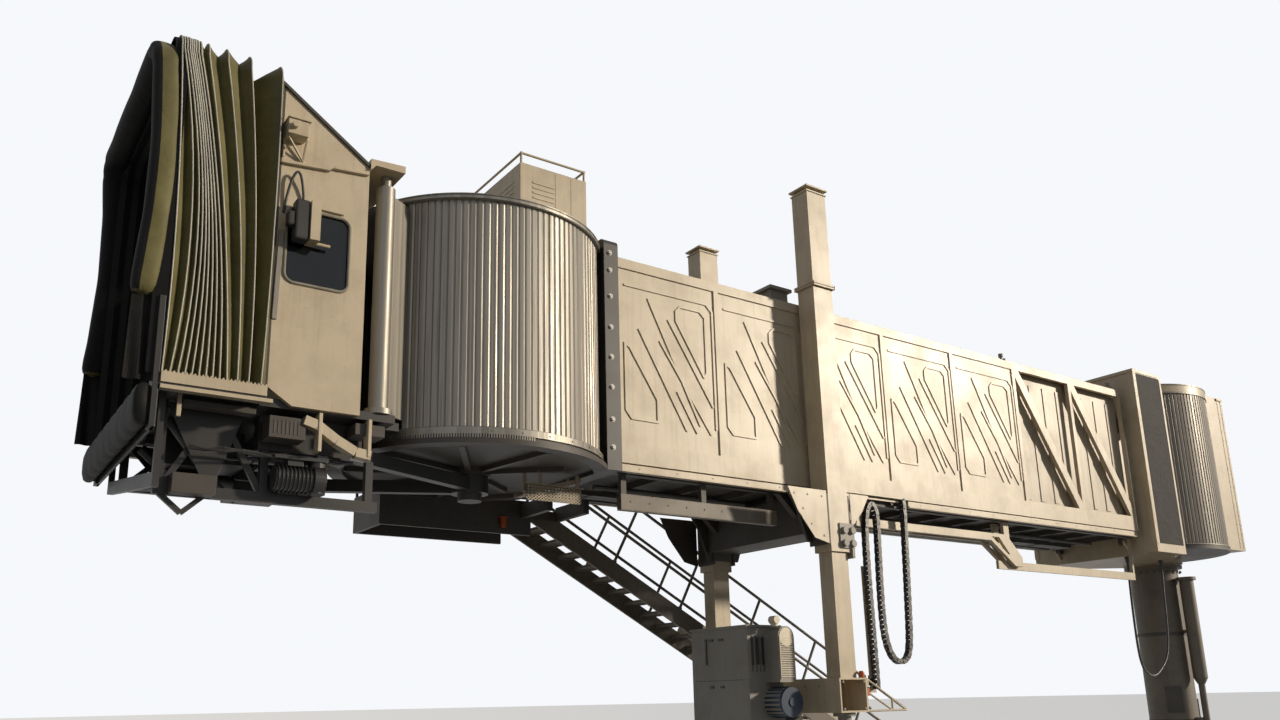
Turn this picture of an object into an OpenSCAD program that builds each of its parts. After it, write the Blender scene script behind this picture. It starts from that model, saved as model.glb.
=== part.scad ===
// Two-section telescopic boarding bridge, retracted, with a slatted cab drum and a folding canopy.
// Origin: axis of the rotunda column at ground level. The tunnel runs towards -X, the aircraft end.

/* [Tunnel] */
// Length of the outer tunnel
outer_len = 11900; // [9000:50:14000]
// Bays along the outer tunnel
bays = 7; // [6:1:8]
// Bays at the rotunda end that are left as open truss
open_bays = 2; // [1:1:3]
// Width of the outer tunnel
outer_w = 2100; // [2000:10:2300]
// Height of the outer tunnel over its rails
outer_h = 2750; // [2600:10:2900]
// Underside of the tunnel above the ground
tunnel_z = 4460; // [4300:10:4700]
// Depth of the wall frames
frame_t = 70; // [50:5:80]
// Thickness of the wall panels
panel_t = 30; // [20:5:40]
// Height of the bottom rail
bottom_rail = 270; // [200:10:320]
// Height of the top rail
top_rail = 120; // [90:10:160]
// Width of the posts between the bays
post_w = 80; // [60:5:110]
// Width of the ribs pressed into the panels
rib_w = 34; // [24:2:44]
// Height of the ribs pressed into the panels
rib_h = 14; // [8:1:18]
// Running gap between the inner and the outer tunnel
tunnel_gap = 70; // [50:5:90]
// Thickness of the floors
floor_t = 90; // [60:5:110]
// Thickness of the roofs
roof_t = 60; // [40:5:80]

/* [Rotunda] */
// Radius of the rotunda curtain
rot_r = 1430; // [1300:10:1500]
// Distance of the swing portal from the column axis
portal_in = 1100; // [1100:5:1150]
// Depth of the swing portal frame
portal_l = 1020; // [900:10:1100]
// Half width of the swing portal
portal_hw = 1280; // [1240:10:1300]
// Top of the swing portal above the ground
portal_top = 7630; // [7560:10:7700]
// Gap between the swing portal and the outer tunnel when it is retracted
end_gap = 180; // [170:10:260]
// Inner face of the fixed portal, from the column axis
fixed_in = 860; // [860:10:900]
// Depth of the fixed portal
fixed_l = 780; // [700:10:900]
// Half width of the fixed portal
fixed_hw = 1140; // [1100:5:1145]
// Top of the rotunda roof above the ground
rot_top = 7600; // [7540:10:7680]
// Radius of the rotunda column
column_r = 450; // [380:5:500]
// Radius of the column base plate
base_r = 850; // [750:10:950]
// Radius of the bolt circle in the base plate
base_bolt_r = 720; // [650:5:740]
// Anchor bolts in the base plate
base_bolts = 12; // [8:1:16]
// Diameter of the anchor bolt holes
base_hole_d = 42; // [30:1:50]
// Thickness of the base plate
base_t = 40; // [30:5:60]

/* [Cab drum] */
// Distance of the drum axis from the cab end of the tunnel
drum_reach = 1540; // [1500:10:1650]
// Radius of the drum curtain
drum_r = 1630; // [1600:10:1680]
// Depth of the curtain slats
slat_t = 30; // [20:2:40]
// Pitch of the curtain slats
slat_pitch = 82; // [70:2:100]
// Underside of the drum above the ground
drum_z0 = 4320; // [4250:10:4380]
// Underside of the curtain above the ground
curtain_z0 = 4520; // [4480:10:4560]
// Top of the curtain above the ground
curtain_z1 = 7240; // [7180:10:7260]
// Top of the drum roof above the ground
drum_top = 7330; // [7300:10:7400]
// Radius of the kingpin that the cab turns on
kingpin_r = 90; // [70:5:110]

/* [Cab] */
// Half width of the cab over its walls
cab_hw = 1420; // [1380:10:1500]
// Rear edge of the cab walls, from the drum axis
cab_rear = 1970; // [1950:10:2050]
// Front edge of the cab walls, from the drum axis
cab_front = 2930; // [2850:10:3000]
// Thickness of the cab walls
cab_wall_t = 60; // [40:5:80]
// Underside of the cab walls above the ground
cab_z0 = 4480; // [4460:10:4520]
// Top of the cab walls at their rear edge
cab_top_rear = 7260; // [7200:10:7300]
// Top of the cab walls at their front edge
cab_top_front = 7940; // [7850:10:8000]
// Depth of the canopy bellows
bellows_len = 1000; // [900:10:1200]
// Thickness of the canopy bellows
bellows_t = 240; // [200:10:280]
// Depth of the canopy pads
bumper_len = 330; // [280:10:420]
// Thickness of the canopy pads
bumper_t = 290; // [270:10:340]
// Half width of the canopy
canopy_hw = 1560; // [1540:10:1620]
// Top of the canopy above the ground
canopy_top = 8200; // [8100:10:8300]
// Lower end of the side pads above the ground
pad_z0 = 5300; // [5100:20:5500]
// Underside of the cab underframe above the ground
under_z0 = 3560; // [3450:10:3700]
// How much higher the far side of the cab underframe ends
under_rise = 370; // [0:10:400]

/* [Lift] */
// Distance of the lift columns from the tunnel pivot
lift_reach = 8540; // [8000:20:9000]
// Length of a lift column along the tunnel
lift_l = 380; // [340:5:420]
// Width of a lift column across the tunnel
lift_w = 320; // [300:5:340]
// Wall of the lift columns
lift_wall = 16; // [10:1:20]
// Gap between the lift columns and the tunnel wall
lift_gap = 60; // [40:5:90]
// Top of the lift columns above the ground
lift_top = 8990; // [8700:10:9200]
// Lower end of the lift columns above the ground
lift_z0 = 3560; // [3400:10:3700]
// Height of the wheel axle above the ground, and radius of the wheels
wheel_r = 575; // [520:5:600]
// Width of a wheel
wheel_w = 360; // [300:10:400]
// Half of the distance between the wheels
wheel_y = 640; // [560:10:760]
// Radius of the wheel axle
axle_r = 60; // [45:1:75]
// Length of the equipment unit along the tunnel
eq_l = 620; // [560:10:680]
// Underside of the equipment unit above the ground
eq_z0 = 1180; // [1100:10:1250]
// Top of the equipment unit above the ground
eq_z1 = 2500; // [2400:10:2600]
// Drop of the cable beams under the tunnel
cable_drop = 450; // [400:10:500]

/* [Service stair] */
// Slope of the stair in degrees
stair_slope = 28.5; // [26:0.5:32]
// Width of the stair over its stringers
stair_w = 900; // [800:10:1000]
// Top of the landing above the ground
landing_z = 4400; // [4350:10:4420]
// Rise of a step
step_rise = 170; // [150:5:190]

/* [Hidden] */
$fn = 64;
clear = 0.3;            // seating clearance between separate pieces

hw = outer_w / 2;
portal_x = -portal_in - portal_l;           // tunnel side of the swing portal
xt0 = portal_x - end_gap;                   // rotunda end of the outer tunnel
xt1 = xt0 - outer_len;                      // cab end of the outer tunnel
bay = outer_len / bays;
tz0 = tunnel_z;
tz1 = tunnel_z + outer_h;
ihw = hw - frame_t - tunnel_gap;            // half width of the inner tunnel
iz0 = tz0 + floor_t + 40;                   // underside of the inner tunnel
iz1 = tz1 - roof_t - 40;                    // top of the inner tunnel
ixr = xt0 + 15;                             // rotunda end of the inner tunnel
ix1 = xt1 + 350;                            // cab end of the inner tunnel
pin_x = portal_x - 100;                     // pivot of the tunnel
pin_z = tz0 - 160;
pin_r = 45;

flange_l = 220;                             // depth of the bolted flange
xd = xt1 - drum_reach;                      // drum axis
xf = xt1 - flange_l;                        // cab side of the flange

lift_x = pin_x - lift_reach;
lift_y = hw + lift_gap + lift_w / 2;
ram_l = lift_l - 2 * lift_wall - 40;
ram_w = lift_w - 2 * lift_wall - 40;
ram_top = 7000;                             // top of the inner lift tubes
collar_h = 260;
axle_z = wheel_r;
beam_z0 = 1350;
beam_z1 = 1800;

module box(x0, x1, y0, y1, z0, z1)
    translate([min(x0, x1), min(y0, y1), min(z0, z1)]) cube([abs(x1 - x0), abs(y1 - y0), abs(z1 - z0)]);

// a flat side plate: the child outline is drawn in X and Z, and stands between y0 and y1
module plate_xz(y0, y1)
    translate([0, max(y0, y1), 0]) rotate([90, 0, 0]) linear_extrude(abs(y1 - y0)) children();

module ring(r1, r0, h) difference() {
    cylinder(r = r1, h = h, $fn = 96);
    translate([0, 0, -1]) cylinder(r = r0, h = h + 2, $fn = 96);
}

// curtain of upright slats along an arc: each slat is a flat bar with a rounded rib
module slat_arc(r, a0, a1, z0, z1) {
    n = max(3, round((a1 - a0) / (slat_pitch / r * 180 / PI)));
    step = (a1 - a0) / n;
    chord = 2 * r * sin(step / 2);
    translate([0, 0, z0]) linear_extrude(z1 - z0) {
        for (i = [0:n - 1]) rotate(a0 + (i + 0.5) * step) translate([r * cos(step / 2) - slat_t * 0.7, 0])
            polygon([[0, -chord / 2 - 1], [0, chord / 2 + 1], [slat_t * 0.35, chord / 2 + 1],
                [slat_t * 0.7, chord * 0.28], [slat_t * 0.7, -chord * 0.28],
                [slat_t * 0.35, -chord / 2 - 1]]);
    }
}

// Rotunda, fixed to the ground

swing_z0 = tz0 - 420;                       // underside of the swing portal
head_z = swing_z0 - 30;                     // top of the column head
arm_t = 150;                                // depth of the swing arm
rfloor_z0 = swing_z0 + arm_t + 20;          // underside of the fixed rotunda floor
rot_floor = tz0 + floor_t;                  // walking level in the rotunda
rot_ceiling = rot_top - 230;
neck_r = 300;

module rotunda_column() color("#6f6b64") {
    difference() {
        cylinder(r = base_r, h = base_t, $fn = 96);
        for (i = [0:base_bolts - 1]) rotate(i * 360 / base_bolts + 15) translate([base_bolt_r, 0, -1])
            cylinder(d = base_hole_d, h = base_t + 2, $fn = 32);
    }
    translate([0, 0, base_t]) cylinder(r = column_r, h = head_z - 60 - base_t, $fn = 96);
    // gussets between the bolts
    for (i = [0:base_bolts / 2 - 1]) rotate(i * 720 / base_bolts)
        translate([column_r - 20, 12, base_t - 1]) rotate([90, 0, 0]) linear_extrude(24)
            polygon([[0, 0], [base_r - column_r - 90, 0], [base_r - column_r - 90, 60], [0, 420]]);
    translate([0, 0, head_z - 60]) cylinder(r = column_r + 90, h = 60, $fn = 96);
    translate([0, 0, head_z]) cylinder(r = neck_r, h = rfloor_z0 - head_z, $fn = 96);
    // round service pipe on brackets beside the column
    translate([0, pipe_y, base_t - 1]) {
        cylinder(r = 110, h = 30, $fn = 48);
        cylinder(r = 60, h = 1650, $fn = 48);
        translate([0, 0, 1600]) cylinder(r1 = 70, r2 = 130, h = 120, $fn = 48);
        translate([0, 0, 1719]) cylinder(r = 130, h = 1921, $fn = 48);
        translate([0, 0, 3639]) cylinder(r = 180, h = 60, $fn = 48);
        for (z = [900, 2600]) translate([-40, 20, z]) cube([80, -pipe_y - column_r, 60]);
    }
}
pipe_y = -(column_r + 190);

module rotunda_floor() color("#8d887d") translate([0, 0, rfloor_z0 + clear]) {
    cylinder(r = rot_r - slat_t - 30, h = rot_floor - rfloor_z0, $fn = 96);
    cylinder(r = rot_r + 10, h = 90, $fn = 96);
}

module rotunda_roof() color("#cfc6b4") difference() {
    union() {
        translate([0, 0, rot_ceiling]) cylinder(r = rot_r + 10, h = rot_top - rot_ceiling - 40, $fn = 96);
        translate([0, 0, rot_top - 41]) cylinder(r1 = rot_r + 10, r2 = rot_r - 160, h = 41, $fn = 96);
    }
    translate([0, 0, rot_ceiling - 1])
        cylinder(r = rot_r - slat_t - 60, h = rot_top - rot_ceiling - 60, $fn = 96);
}

// rectangular frame with a passage, drawn in Y and Z
module frame_yz(hw_out, z0, z1, hw_in, pz0, pz1) difference() {
    translate([-hw_out, z0]) square([2 * hw_out, z1 - z0]);
    translate([-hw_in, pz0]) square([2 * hw_in, pz1 - pz0]);
}
module terminal_portal() color("#cfc6b4") difference() {
    plate_yz(fixed_in, fixed_in + fixed_l)
        frame_yz(fixed_hw, rfloor_z0 + 100, rot_top, fixed_hw - 160, rot_floor + 20, rot_ceiling - 100);
    translate([0, 0, rfloor_z0]) cylinder(r = rot_r + 10 + clear, h = rot_top, $fn = 96);
}

curtain_a0 = 90 - asin((fixed_in + 40) / rot_r) - 2;
curtain_a1 = 90 + asin((portal_in - 40) / rot_r);
module rotunda_curtain(s) color("#b9b7b1") mirror([0, s > 0 ? 0 : 1, 0])
    slat_arc(rot_r, curtain_a0, curtain_a1 - 1, rfloor_z0 + 90 + 2 * clear, rot_ceiling - clear);
module rotunda_curtain_left() rotunda_curtain(-1);
module rotunda_curtain_right() rotunda_curtain(1);

// Swing portal, turns about the column

module swing_portal() color("#55524c") {
    // arm and bearing ring round the neck of the column
    difference() {
        union() {
            translate([0, 0, swing_z0]) cylinder(r = neck_r + 260, h = arm_t, $fn = 96);
            translate([0, 0, head_z + clear]) cylinder(r = neck_r + 200, h = 60, $fn = 96);
            linear_extrude_at(swing_z0, arm_t) polygon([[-100, -420], [-portal_in, -portal_hw + 200],
                [portal_x, -portal_hw + 200], [portal_x, portal_hw - 200],
                [-portal_in, portal_hw - 200], [-100, 420]]);
        }
        translate([0, 0, head_z - 1]) cylinder(r = neck_r + 0.05, h = arm_t + 60, $fn = 96);
    }
    // portal frame, cut round to clear the drum
    difference() {
        plate_yz(-portal_in, portal_x)
            frame_yz(portal_hw, swing_z0 + 20, portal_top, ihw + 45, rot_floor - 60, iz1 + 70);
        translate([0, 0, swing_z0 + arm_t - 1]) cylinder(r = rot_r + 45, h = portal_top, $fn = 96);
    }
    // pivot lugs for the tunnel
    for (s = [-1, 1]) difference() {
        union() {
            plate_xz(s * 700, s * 760) polygon([[portal_x + 20, swing_z0 + 30], [pin_x, pin_z - 72],
                [pin_x, pin_z + 72], [portal_x + 20, pin_z + 110]]);
            translate([pin_x, s * 730 + 30, pin_z]) rotate([90, 0, 0]) cylinder(r = 72, h = 60, $fn = 48);
        }
        translate([pin_x, s * 730 + 50, pin_z]) rotate([90, 0, 0]) cylinder(r = pin_r, h = 100, $fn = 48);
    }
}
module linear_extrude_at(z, h) translate([0, 0, z]) linear_extrude(h) children();

// Inner tunnel

module inner_floor() color("#8d887d") {
    box(ix1, ixr, -ihw, ihw, iz0, iz0 + floor_t);
    // shoes that run on the floor of the outer tunnel
    for (x = [ix1 + 300, xt0 - 1200]) for (s = [-1, 1])
        box(x - 150, x + 150, s * (ihw - 140), s * (ihw - 20), tz0 + floor_t + clear, iz0);
    // pivot lugs and pin
    for (s = [-1, 1]) {
        plate_xz(s * 620, s * 690) polygon([[pin_x - 250, iz0 + 1], [pin_x - 250, iz0 - 20], [pin_x - 68, iz0 - 30],
            [pin_x - 68, pin_z - 50], [pin_x - 40, pin_z - 65], [pin_x + 40, pin_z - 65], [pin_x + 60, pin_z - 50],
            [pin_x + 60, pin_z + 120], [pin_x - 40, iz0 + 40], [pin_x - 66, iz0 + 40]]);
        translate([pin_x, s * 620 + (s > 0 ? 160 : 0), pin_z]) rotate([90, 0, 0])
            cylinder(r = pin_r - 0.05, h = 160, $fn = 48);
    }
}
module inner_wall(s) color("#bdb4a2") {
    box(ix1, ixr, s * (ihw - 40), s * ihw, iz0 + floor_t + clear, iz1 - roof_t - clear);
    n = 28;
    for (i = [0:n - 1]) let (x = xt0 - 60 - (i + 0.5) * (xt0 - 60 - ix1) / n)
        box(x - 60, x + 60, s * (ihw - 2), s * (ihw + 14), iz0 + floor_t + 120, iz1 - roof_t - 120);
}
module inner_left_wall() inner_wall(-1);
module inner_right_wall() inner_wall(1);
module inner_roof() color("#bdb4a2") box(ix1, ixr, -ihw, ihw, iz1 - roof_t, iz1);

// Outer tunnel

lo = bottom_rail;
hi = outer_h - top_rail;
module wall_outline() {
    difference() {
        translate([xt1, tz0]) square([outer_len, outer_h]);
        for (i = [0:bays - 1]) let (x0 = xt0 - i * bay - bay + post_w / 2, x1 = xt0 - i * bay - post_w / 2)
            translate([x0, tz0 + lo]) square([x1 - x0, hi - lo]);
    }
    for (i = [0:open_bays - 1]) let (xa = xt0 - i * bay - post_w / 2, xb = xt0 - (i + 1) * bay + post_w / 2)
        polygon([[xb - 10, tz0 + hi + 10], [xb - 10, tz0 + hi - 110], [xa - 110, tz0 + lo - 10],
            [xa + 10, tz0 + lo - 10], [xa + 10, tz0 + lo + 110], [xb + 110, tz0 + hi + 10]]);
}
// ribs pressed into a panel, drawn for a bay 1700 wide and 2750 high: a corner line, two boxes and five slants
rib_lines = [
    [[150, 2410], [1520, 2410], [1620, 2310], [1620, 630]],
    [[1065, 2280], [1400, 2280], [1490, 2200], [1490, 1400], [1440, 1340], [990, 2060], [990, 2200], [1065, 2280]],
    [[135, 1600], [135, 700], [220, 600], [640, 600], [640, 900], [215, 1550], [135, 1600]],
    [[530, 2280], [1340, 650]], [[370, 1825], [1110, 550]], [[710, 1715], [1525, 550]],
    [[860, 2045], [1575, 940]], [[980, 1050], [1280, 545]]];
module rib_bar(a, b) {
    translate(a) rotate(atan2(b[1] - a[1], b[0] - a[0])) translate([0, -rib_w / 2]) square([norm(b - a), rib_w]);
    translate(a) circle(d = rib_w, $fn = 12);
    translate(b) circle(d = rib_w, $fn = 12);
}
module bay_ribs() for (line = rib_lines) for (i = [0:len(line) - 2])
    rib_bar([line[i][0] * bay / 1700, line[i][1] * outer_h / 2750],
        [line[i + 1][0] * bay / 1700, line[i + 1][1] * outer_h / 2750]);

module outer_wall(s) color("#cbc1ad") {
    plate_xz(s * (hw - frame_t), s * hw) wall_outline();
    for (i = [0:bays - open_bays - 1]) translate([xt1 + i * bay, 0, tz0])
        plate_xz(s * (hw - 21), s * (hw - 20 + rib_h)) bay_ribs();
    // panels set back behind the posts
    for (i = [open_bays:bays - 1])
        box(xt0 - (i + 1) * bay + 5, xt0 - i * bay - 5, s * (hw - 20 - panel_t), s * (hw - 20),
            tz0 + lo - 5, tz0 + hi + 5);
}
module outer_left_wall() outer_wall(-1);
module outer_right_wall() outer_wall(1);

module outer_floor() color("#77736b") {
    box(xt1, xt0, -(hw - frame_t - clear), hw - frame_t - clear, tz0, tz0 + floor_t);
    for (i = [0:2 * bays]) let (x = xt0 - 40 - i * (outer_len - 80) / (2 * bays))
        box(x - 30, x + 30, -(hw - frame_t - clear), hw - frame_t - clear, tz0 - 90, tz0);
    for (s = [-1, 1]) box(xt1 + 20, xt0, s * (hw - 230), s * (hw - 130), tz0 - 120, tz0);
    // service rail hung under the cab half
    box(xt1 + 100, lift_x - 700, -hw + 140, -hw + 220, tz0 - 560, tz0 - 380);
    for (x = [xt1 + 120, (xt1 + lift_x - 600) / 2, lift_x - 800])
        box(x, x + 80, -hw + 150, -hw + 210, tz0 - 381, tz0 - 119);
}
module outer_roof() color("#cbc1ad") plate_yz(xt1, xt0)
    polygon([[-(hw - frame_t - clear), tz1 - roof_t], [hw - frame_t - clear, tz1 - roof_t],
        [hw - frame_t - clear, tz1 - 15], [0, tz1 + 12], [-(hw - frame_t - clear), tz1 - 15]]);

// a long plate: the child outline is drawn in Y and Z, and runs between x0 and x1
module plate_yz(x0, x1)
    translate([min(x0, x1), 0, 0]) rotate([90, 0, 90]) linear_extrude(abs(x1 - x0)) children();

flange_z0 = tz0 - 130;
flange_z1 = tz1 + 210;
module cab_end_flange() color("#2c2b29") plate_yz(xt1 - clear, xf) difference() {
    union() {
        translate([-hw - 60, flange_z0]) square([2 * hw + 120, flange_z1 - flange_z0 - 80]);
        translate([-hw + 20, flange_z0]) square([2 * hw - 40, flange_z1 - flange_z0]);
        for (s = [-1, 1]) translate([s * (hw - 20), flange_z1 - 80]) circle(r = 80, $fn = 48);
    }
    translate([-ihw, tz0 + floor_t]) square([2 * ihw, outer_h - floor_t - roof_t]);
}

// Cab drum, fixed to the outer tunnel

module drum_floor() color("#77736b") translate([xd, 0, 0]) {
    difference() {
        union() {
            translate([0, 0, drum_z0 + 60])
                cylinder(r = drum_r - slat_t - 40, h = tz0 + floor_t - drum_z0 - 60, $fn = 128);
            translate([0, 0, drum_z0]) ring(drum_r + 90, drum_r - 90, 60);
            translate([0, 0, drum_z0 + 60]) ring(drum_r + 30, drum_r - 100, curtain_z0 - clear - drum_z0 - 60);
        }
        // the flange closes the drum on the tunnel side
        translate([xf - xd - clear, -drum_r - 200, drum_z0 - 10]) cube([2 * drum_r, 2 * drum_r + 400, 600]);
    }
    // radial beams and the kingpin
    for (a = [40:40:320]) let (reach = abs(a - 180) > 125 ? drum_r - 450 : drum_r - 110)
        rotate(a) translate([kingpin_r, -35, drum_z0]) cube([reach - kingpin_r, 70, 62]);
    translate([0, 0, drum_z0 - 330]) cylinder(r = kingpin_r, h = 400, $fn = 64);
    translate([0, 0, drum_z0 - 330]) cylinder(r = 150, h = 90 - clear, $fn = 64);
    translate([0, 0, drum_z0 - 20]) cylinder(r = 260, h = 90, $fn = 64);
}

module drum_roof() color("#a9a498") difference() {
    translate([xd, 0, 0]) union() {
        translate([0, 0, curtain_z1 + clear]) cylinder(r = drum_r + 35, h = drum_top - curtain_z1 - 30, $fn = 128);
        translate([0, 0, drum_top - 31]) cylinder(r1 = drum_r + 35, r2 = drum_r - 200, h = 50, $fn = 128);
    }
    box(xf - clear, xf + 2 * drum_r, -drum_r - 100, drum_r + 100, curtain_z1 - 10, drum_top + 100);
}

drum_a1 = 180 - 36;                         // where it reaches the cab opening
module drum_curtain(s) color("#b9b7b1") difference() {
    translate([xd, 0, 0]) mirror([0, s > 0 ? 0 : 1, 0]) slat_arc(drum_r, 34, drum_a1, curtain_z0, curtain_z1);
    box(xf - clear, xf + 900, -3000, 3000, 0, 9000);
}
module drum_curtain_left() drum_curtain(-1);
module drum_curtain_right() drum_curtain(1);

// Roof unit on the drum

unit_x1 = xf - 60;
unit_x0 = unit_x1 - 1000;
unit_z0 = drum_top + 19;
unit_top = 8330;
module roof_unit() color("#cfc6b4") {
    box(unit_x0, unit_x1, -800, 800, unit_z0 + clear, unit_top);
    box(unit_x0 + 60, unit_x1 - 60, -740, 740, unit_top - 1, unit_top + 12);
    // guard rail
    for (x = [unit_x0 + 20, unit_x1 - 20]) {
        for (y = [-780, 780]) translate([x, y, unit_top - 1]) cylinder(r = 16, h = 145, $fn = 16);
        translate([x, 796, unit_top + 144]) rotate([90, 0, 0]) cylinder(r = 16, h = 1592, $fn = 16);
    }
    for (y = [-780, 780]) translate([unit_x0 + 4, y, unit_top + 144]) rotate([0, 90, 0])
        cylinder(r = 16, h = unit_x1 - unit_x0 - 8, $fn = 16);
}

// Lift

module tube_section(l, w, t) difference() {
    square([l, w], center = true);
    square([l - 2 * t, w - 2 * t], center = true);
}
module lift_tube(s) color("#cbc1ad") translate([lift_x, s * lift_y, 0]) {
    translate([0, 0, lift_z0]) linear_extrude(lift_top - 70 - lift_z0) tube_section(lift_l, lift_w, lift_wall);
    // lower collar with the guide pads, seam collar and cap
    translate([0, 0, lift_z0 - 60]) linear_extrude(collar_h) difference() {
        square([lift_l, lift_w], center = true);
        square([ram_l + 2 * clear, ram_w + 2 * clear], center = true);
    }
    translate([0, 0, lift_top - 70]) linear_extrude(20) square([lift_l + 30, lift_w + 30], center = true);
    translate([0, 0, lift_top - 51]) linear_extrude(52) square([lift_l - 60, lift_w - 60], center = true);
    translate([0, 0, lift_top]) linear_extrude(22) square([lift_l + 60, lift_w + 60], center = true);
}
module left_lift_tube() lift_tube(-1);
module right_lift_tube() lift_tube(1);

saddle_z0 = 3660;
module lift_saddle() color("#5f5b54") {
    // cross beam under the tunnel
    box(lift_x - 300, lift_x + 300, -hw - lift_gap + clear, hw + lift_gap - clear,
        saddle_z0 + 120, tz0 - 120 - clear);
    for (s = [-1, 1]) {
        // gussets beside each column
        for (x = [lift_x - lift_l / 2 - clear - 30, lift_x + lift_l / 2 + clear])
            box(x, x + 30, s * (lift_y - lift_w / 2 - 59), s * (lift_y + lift_w / 2), saddle_z0 - 60, tz0 - 160);
        plate_xz(s * (hw + lift_gap - clear), s * (hw + lift_gap - clear - 40)) polygon([[lift_x - 620, tz0 - 121],
            [lift_x - 480, tz0 - 330], [lift_x - 300, saddle_z0], [lift_x + 300, saddle_z0],
            [lift_x + 480, tz0 - 330], [lift_x + 620, tz0 - 121]]);
        plate_xz(s * (hw - 130), s * (hw - 230)) polygon([[lift_x - 620, tz0 - 120 - clear],
            [lift_x - 300, tz0 - 420], [lift_x + 300, tz0 - 420], [lift_x + 620, tz0 - 120 - clear]]);
    }
}

chain_x = -9820;                            // upright run of the cable chain
module axle_frame() color("#cbc1ad") {
    for (s = [-1, 1]) translate([lift_x, s * lift_y, beam_z1 - 10])
        linear_extrude(ram_top - beam_z1) tube_section(ram_l, ram_w, 14);
    difference() {
        box(lift_x - 260, lift_x + 260, -lift_y - 200, lift_y + 200, beam_z0, beam_z1);
        box(lift_x - 236, lift_x + 236, -lift_y - 201, lift_y + 201, beam_z0 + 24, beam_z1 - 24);
    }
    for (s = [-1, 1]) for (x = [-1, 1]) plate_xz(s * (lift_y - 12), s * (lift_y + 12)) polygon([
        [lift_x + x * (ram_l / 2 - 2), beam_z1 - 5], [lift_x + x * 250, beam_z1 - 5],
        [lift_x + x * (ram_l / 2 + 10), beam_z1 + 160], [lift_x + x * (ram_l / 2 - 2), beam_z1 + 160]]);
    translate([lift_x, 0, beam_z0 - 60]) cylinder(r = 330, h = 61, $fn = 96);
    translate([lift_x, 0, beam_z0 - 300]) cylinder(r = 100, h = 300, $fn = 64);
    // arm and upright guide beside the cable chain
    box(lift_x + 259, chain_x + 60, -hw + 80, -hw + 150, beam_z1 - 200, beam_z1 - 120);
    box(chain_x - 60, chain_x + 60, -hw + 80, -hw + 92, beam_z1 - 200, 3400);
}

eq_x1 = lift_x - 540;                       // tunnel side of the equipment unit
eq_y0 = -700;                               // sides of the equipment unit
eq_y1 = 500;
module equipment_unit() color("#8b8983") {
    difference() {
        box(eq_x1 - eq_l, eq_x1, eq_y0, eq_y1, eq_z0, eq_z1);
        for (i = [0:5])
            translate([eq_x1 - eq_l + 60 + i * 70, eq_y0 - 1, eq_z1 - 600]) cube([30, 21, 480]);
    }
    box(eq_x1 - eq_l - 20, eq_x1, eq_y0 - 20, eq_y1 + 20, eq_z1 - 1, eq_z1 + 30);
    // arms to the axle beam
    for (y = [-420, 260]) box(eq_x1 - 1, lift_x - 260 - clear, y, y + 90, beam_z0 + 110, beam_z1 - 160);
    // duct housing with a round top, and the drive motor under it
    box(eq_x1 - 330, eq_x1 - 40, eq_y0 - 290, eq_y0 + 1, eq_z0 + 580, eq_z1 - 145);
    translate([eq_x1 - 185, eq_y0 + 1, eq_z1 - 145]) rotate([90, 0, 0]) cylinder(r = 145, h = 291, $fn = 64);
    translate([eq_x1 - 200, eq_y0 + 1, eq_z0 + 320]) rotate([90, 0, 0]) cylinder(r = 190, h = 331, $fn = 48);
}

module bogie_frame() color("#5f5b54") {
    difference() {
        union() {
            translate([lift_x, 0, beam_z0 - 60 - clear - 60]) cylinder(r = 330, h = 60, $fn = 96);
            box(lift_x - 240, lift_x + 240, -300, 300, axle_z - 140, beam_z0 - 119);
        }
        translate([lift_x, 0, beam_z0 - 310]) cylinder(r = 100.05, h = 320, $fn = 64);
    }
    // axle through both wheels
    translate([lift_x, -(wheel_y + wheel_w / 2 + 30), axle_z]) rotate([-90, 0, 0])
        cylinder(r = axle_r, h = 2 * (wheel_y + wheel_w / 2 + 30), $fn = 64);
    for (s = [-1, 1]) translate([lift_x, s * 299, axle_z]) rotate([-s * 90, 0, 0])
        cylinder(r = 150, h = wheel_y - wheel_w / 2 - 299 - 40 - clear, $fn = 64);
}

module wheel(s) color("#2b2b2a") translate([lift_x, s * wheel_y, axle_z]) rotate([90, 0, 0])
    rotate_extrude($fn = 96) let (b = axle_r + 0.05, h = wheel_w / 2)
        polygon([[b, -h - 40], [160, -h - 40], [160, -h + 60], [wheel_r * 0.62, -h + 30], [wheel_r * 0.66, -h],
            [wheel_r * 0.9, -h], [wheel_r, -h + 60], [wheel_r, h - 60], [wheel_r * 0.9, h],
            [wheel_r * 0.66, h], [wheel_r * 0.62, h - 30], [160, h - 60], [160, h + 40], [b, h + 40]]);
module left_wheel() wheel(-1);
module right_wheel() wheel(1);

// Cable beams under the tunnels

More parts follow.
